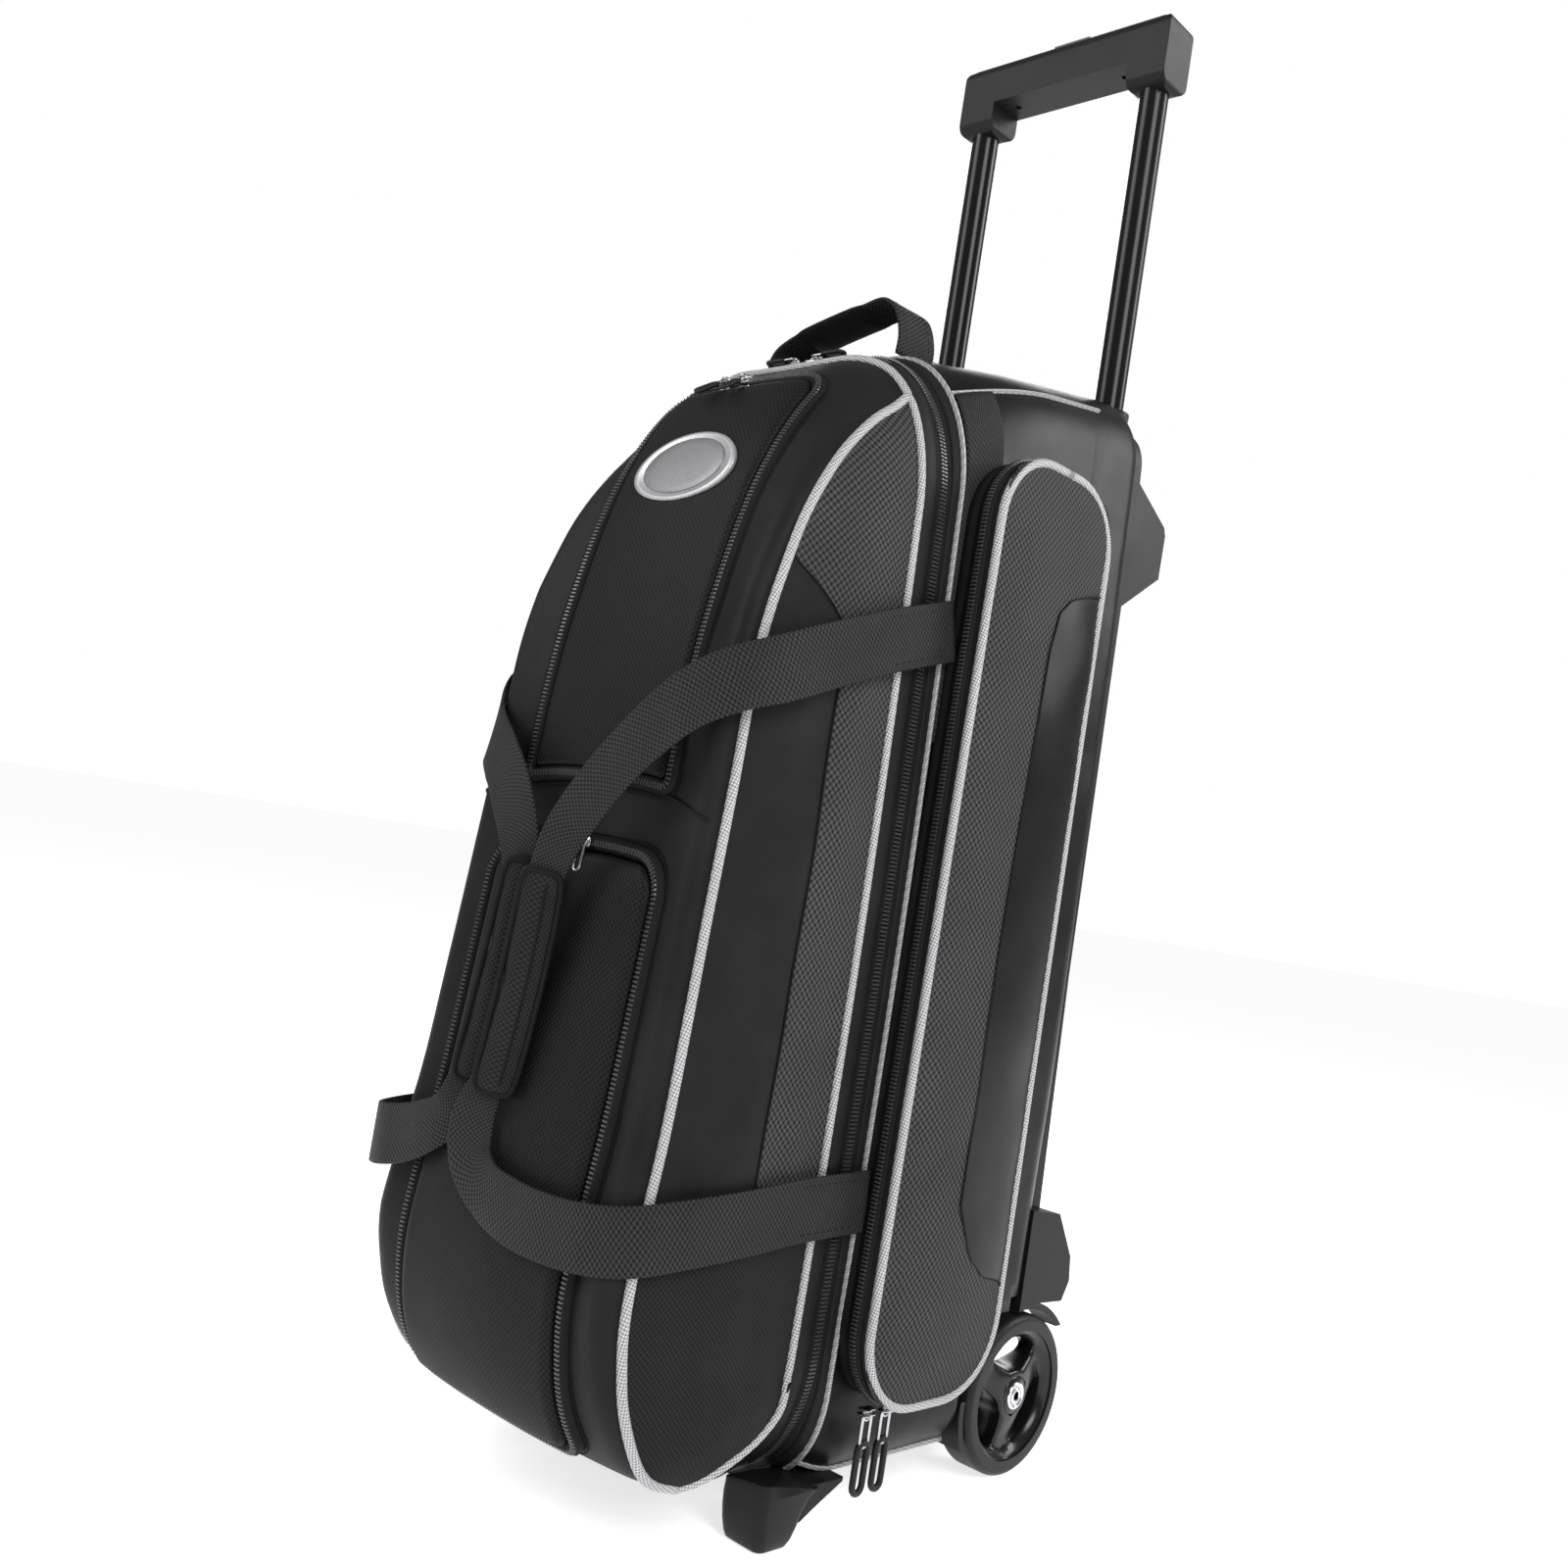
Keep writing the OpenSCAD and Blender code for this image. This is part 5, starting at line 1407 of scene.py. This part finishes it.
def divider():
    """The lid's inner panel: a bound cloth frame with two net windows."""
    loop = ring(DIVIDER_Y, -3.2 * MM)
    seam_cord("divider_binding", resample_loop(loop, step=4 * MM), 1.4 * MM, TAPE, "lid", "lid_divider",
              "lid_divider", closed=True, sides=6)
    above = loop[:, 2] > DIVIDER_WAIST
    for name, z0, z1, keep in (("upper", 460 * MM, 640 * MM, above), ("lower", 100 * MM, 400 * MM, ~above)):
        outer = np.where(keep[:, None], loop, loop * (1, 1, 0) + (0, 0, DIVIDER_WAIST))
        half = [(0, z1)] + arc((WINDOW_X, z1 - WINDOW_R), (WINDOW_R, WINDOW_R), 90, 0, 8)
        half = np.array(half + arc((WINDOW_X, z0 + WINDOW_R), (WINDOW_R, WINDOW_R), 0, -90, 8) + [(0, z0)])
        window = resample_loop(np.concatenate([half, half[-2:0:-1] * (-1, 1)]), len(loop))
        window = np.insert(window, 1, DIVIDER_Y, axis=1)
        mid_z = window[:, 2].mean()
        outer, inner = (resample_loop(p[np.argsort(np.arctan2(p[:, 2] - mid_z, p[:, 0]))], 180)
                        for p in (outer, window))
        frame_cloth = loft("divider_" + name, [outer, outer * 0.5 + inner * 0.5, inner])
        dress(lined(frame_cloth, 2.4 * MM, 0), [LINING, LINING], "lid", "lid_divider", "lid_divider")
        (x0, y, z0), (x1, _, z1) = inner.min(axis=0), inner.max(axis=0)
        strands = [[(x, y, z0), (x, y, z1)] for x in np.arange(x0 + NET_STEP, x1, NET_STEP)]
        strands += [[(x0, y, z), (x1, y, z)] for z in np.arange(z0 + NET_STEP, z1, NET_STEP)]
        net = [sweep("net", strand, circle(0.45 * MM, 4), (0, 1, 0)) for strand in strands]
        dress(join("divider_net_" + name, net), TAPE, "lid", "lid_divider", "lid_divider")


# ---- feet and wheels ----

def rounded_box(x0, x1, y0, y1, z, corner):
    """A level rounded rectangle as a closed loop of points."""
    loop = []
    for x, y, start in ((x1 - corner, y1 - corner, 0), (x0 + corner, y1 - corner, 90),
                        (x0 + corner, y0 + corner, 180), (x1 - corner, y0 + corner, 270)):
        loop += arc((x, y), (corner, corner), start, start + 90, 6)
    return np.insert(loop, 2, z, axis=1)


# The open lid's lower edge passes over the left leg, which stops below it
LID_PASS = 29.8 * MM

# Each level of a leg: height, front, back, inner side, outer side and corner radius, in millimetres
LEG_LEVELS = [(0, -92, -69, 99, 126, 5), (1.2, -94, -67, 97, 128, 6), (5, -96, -64, 96, 129.4, 7),
              (12, -97.5, -61, 95, 130, 7), (20, -98.5, -58, 94.5, 130, 7), (27, -98.5, -53, 94, 130, 7),
              (32, -98, -46, 94, 130, 7)]


def front_legs():
    for side, sign in SIDES:
        rows = []
        for z, front, back, inner, outer, corner in LEG_LEVELS:
            rows.append(rounded_box(inner * MM, outer * MM, front * MM, back * MM, z * MM, corner * MM))
        lip = rows[-1].copy()
        lip[:, 2] += (2.5 + 6 * np.clip((lip[:, 0] - 94 * MM) / (14 * MM), 0, 1)) * MM * (lip[:, 1] < -60 * MM)
        rows.append(lip)
        if side == "left":
            for row in rows:
                row[:, 2] = np.minimum(row[:, 2], 27 * MM + 0.5 * np.maximum(row[:, 2] - 27 * MM, 0))
                row[:, 2] = np.minimum(row[:, 2], LID_PASS)
        leg = capped("foot_leg_" + side, [row * (sign, 1, 1) for row in rows])
        bevel = leg.modifiers.new("soft_edges", "BEVEL")
        bevel.width = 0.8 * MM
        bevel.segments = 2
        bevel.limit_method = "ANGLE"
        dress(leg, PLASTIC, "bag", "front_feet", "front_feet")
        web = []
        for x in (97, 98, 126, 127):
            inset = 1.0 if x in (97, 127) else 0.0
            profile = [(-60 + inset, 12 + inset), (-50, 17 + inset), (-23 - inset, 30 + inset), (-23 - inset, 33),
                       (-60 + inset, 33)]
            web.append(np.array([(sign * x, y, z) for y, z in profile]) * MM)
        dress(capped("foot_web_" + side, web), PLASTIC, "bag", "front_feet", "front_feet")


def revolve(name, profile, centre):
    """A solid turned about a line along x: profile is (x, radius) from axis to axis."""
    return capped(name, [np.insert(circle(radius, 64) + centre, 0, x, axis=1) for x, radius in profile])


def softened(loop):
    """A closed loop with its corners cut to curves."""
    for _ in range(3):
        ahead = np.roll(loop, -1, axis=0)
        loop = np.stack([loop * 0.75 + ahead * 0.25, loop * 0.25 + ahead * 0.75], axis=1).reshape(-1, 2)
    return loop


def ray_to_loop(centre, direction, loop):
    """Where a ray from the centre leaves a closed loop."""
    best = None
    for a, b in zip(loop, np.roll(loop, -1, axis=0)):
        edge = b - a
        cross = direction[0] * edge[1] - direction[1] * edge[0]
        if abs(cross) < 1e-12:
            continue
        gap = a - centre
        t = (gap[0] * edge[1] - gap[1] * edge[0]) / cross
        u = (gap[0] * direction[1] - gap[1] * direction[0]) / cross
        if t > 0 and -1e-6 <= u <= 1 + 1e-6 and (best is None or t < best):
            best = t
    return centre + direction * best


def wheel_cores():
    """Dished three-spoke cores with rounded windows, their rims and hub caps."""
    half = (high("wheel_core_right", "x") - low("wheel_core_right", "x")) / 2
    mid_x = middle("wheel_core_right", "x")
    rim = (high("wheel_core_right", "z") - low("wheel_core_right", "z")) / 2
    hub, arm = 13.5 * MM, 9.5 * MM
    r0, r1 = hub + 4 * MM, rim - 6 * MM
    wide = [math.pi / 3 - math.asin(arm / r) for r in (r0, r1)]
    corners = [(r0, -wide[0] * 0.9), (r0, 0), (r0, wide[0] * 0.9)]
    corners += [(r1, wide[1] * t) for t in (1, 0.66, 0.33, 0, -0.33, -0.66, -1)]
    window = softened(np.array([(r * math.cos(a), r * math.sin(a)) for r, a in corners]))
    start = int(np.argmax(window[:, 0] - np.abs(window[:, 1])))
    window = resample_loop(np.roll(window, -start, axis=0), 72)
    bound = np.array(arc((0, 0), (hub, hub), -60, 60, 9) + arc((0, 0), (rim, rim), 60, -60, 25))
    centre = np.array([(r0 + r1) / 2, 0])
    outer = np.array([ray_to_loop(centre, p - centre, bound) for p in window])

    def face(points):
        radius = np.linalg.norm(points, axis=1) / rim
        return half - np.interp(radius, [0.3, 0.42, 0.7, 0.86, 0.95, 1.0], [0.5, 1.5, 5.0, 5.5, 1.5, 0.8]) * MM

    parts = []
    for turn in np.radians([90, 210, 330]):
        for way in (1, -1):
            rows = []
            for mix, drop in ((0, 0), (0.3, 0), (0.6, 0.1), (0.85, 0.4), (0.96, 1.2), (1.0, 2.6), (1.0, None)):
                flat = outer * (1 - mix) + window * mix
                depth = face(flat) - (drop or 0) * MM if drop is not None else np.zeros(len(flat))
                y = AXLE_Y + flat[:, 0] * math.cos(turn) - flat[:, 1] * math.sin(turn)
                z = AXLE_Z + flat[:, 0] * math.sin(turn) + flat[:, 1] * math.cos(turn)
                rows.append(np.stack([mid_x + way * depth, y, z], axis=1))
            parts.append(loft("spoke", rows))
    axle = (AXLE_Y, AXLE_Z)
    boss = [(mid_x - half, 0.2 * MM), (mid_x - half, hub - 1 * MM), (mid_x - half + 1 * MM, hub),
            (mid_x + half - 1 * MM, hub), (mid_x + half, hub - 1 * MM), (mid_x + half, 0.2 * MM)]
    parts.append(revolve("boss", boss, axle))
    core = fix_normals(join("wheel_disc_right", parts), weld=0.05 * MM)
    face_x = mid_x + half
    cap = [(face_x - 0.5 * MM, 0.2 * MM), (face_x - 0.5 * MM, 9.6 * MM), (face_x + 0.9 * MM, 9.6 * MM),
           (face_x + 1.4 * MM, 9.0 * MM), (face_x + 1.5 * MM, 7.6 * MM), (face_x + 0.7 * MM, 7.2 * MM),
           (face_x + 0.7 * MM, 5.6 * MM), (face_x + 1.5 * MM, 5.2 * MM), (face_x + 1.7 * MM, 3.6 * MM),
           (face_x + 1.0 * MM, 3.2 * MM), (face_x + 1.0 * MM, 0.2 * MM)]
    hub_cap = revolve("hub_ring_right", cap, axle)
    for obj, mat, slot in ((core, GLOSS_PLASTIC, "wheel_core"), (hub_cap, CHROME, "hub_cap")):
        twin = mirrored(obj, obj.name.replace("_right", "_left"))
        dress(obj, mat, "wheel_right", slot, slot + "_right")
        dress(twin, mat, "wheel_left", slot, slot + "_left")


# ---- studio ----

SKY_LIGHT = 0.27


def area_light(name, at, aim, size, power):
    light = bpy.data.lights.new(name, "AREA")
    light.shape = "RECTANGLE"
    light.size, light.size_y = size
    light.energy = power
    obj = bpy.data.objects.new(name, light)
    obj.location = at
    obj.rotation_euler = (Vector(aim) - Vector(at)).to_track_quat("-Z", "Y").to_euler()
    bpy.context.scene.collection.objects.link(obj)


def studio():
    camera = bpy.data.objects.new("camera", bpy.data.cameras.new("camera"))
    bpy.context.scene.collection.objects.link(camera)
    right = Vector((0.72031703, 0.67596174, 0.15562488))
    up = Vector((-0.07285642, -0.14938797, 0.98609086))
    rotation = Matrix((right, up, right.cross(up))).transposed()
    camera.matrix_world = Matrix.Translation((0.714, -0.786, 0.3927)) @ rotation.to_4x4()
    camera.data.lens = 34.91
    camera.data.sensor_width = 36.0
    camera.data.clip_start = 0.01
    bpy.context.scene.camera = camera
    floor = make("floor", [(-60, -60, 0), (60, -60, 0), (60, 60, 0), (-60, 60, 0)], [(0, 1, 2, 3)])
    floor.data.materials.append(finish("studio_floor", 0.80, 0.82, 0.9, "grain", 0.4, 0.001 * MM, patch=0.01,
                                       Emission_Color=(1, 1, 1, 1), Emission_Strength=0.74))
    world = bpy.data.worlds.new("world")
    world.use_nodes = True
    world.node_tree.nodes["Background"].inputs[0].default_value = (1, 1, 1, 1)
    sky = world.node_tree.nodes["Background"]
    seen = world.node_tree.nodes.new("ShaderNodeLightPath")
    level = world.node_tree.nodes.new("ShaderNodeMath")
    level.operation = "MULTIPLY_ADD"
    level.inputs[1].default_value = 1 - SKY_LIGHT
    level.inputs[2].default_value = SKY_LIGHT
    world.node_tree.links.new(seen.outputs["Is Camera Ray"], level.inputs[0])
    world.node_tree.links.new(level.outputs[0], sky.inputs[1])
    bpy.context.scene.world = world
    bpy.context.scene.view_settings.view_transform = "Standard"
    middle_of = (0, 0, 0.45)
    area_light("key_light", (2.3, -1.0, 2.1), middle_of, (1.2, 1.6), 58)
    area_light("front_light", (-1.4, -2.2, 2.0), middle_of, (1.4, 1.6), 40)
    area_light("rim_light", (1.6, 2.1, 1.9), middle_of, (1.0, 1.8), 45)
    area_light("back_light", (-1.8, 2.0, 1.8), middle_of, (1.6, 1.6), 40)


studio()
paint_cad()
rear_body()
main_zipper()
lid_soft_parts()
front_pockets()
zipper_heads()
side_pockets()
carry_straps()
top_handle()
divider()
front_legs()
wheel_cores()
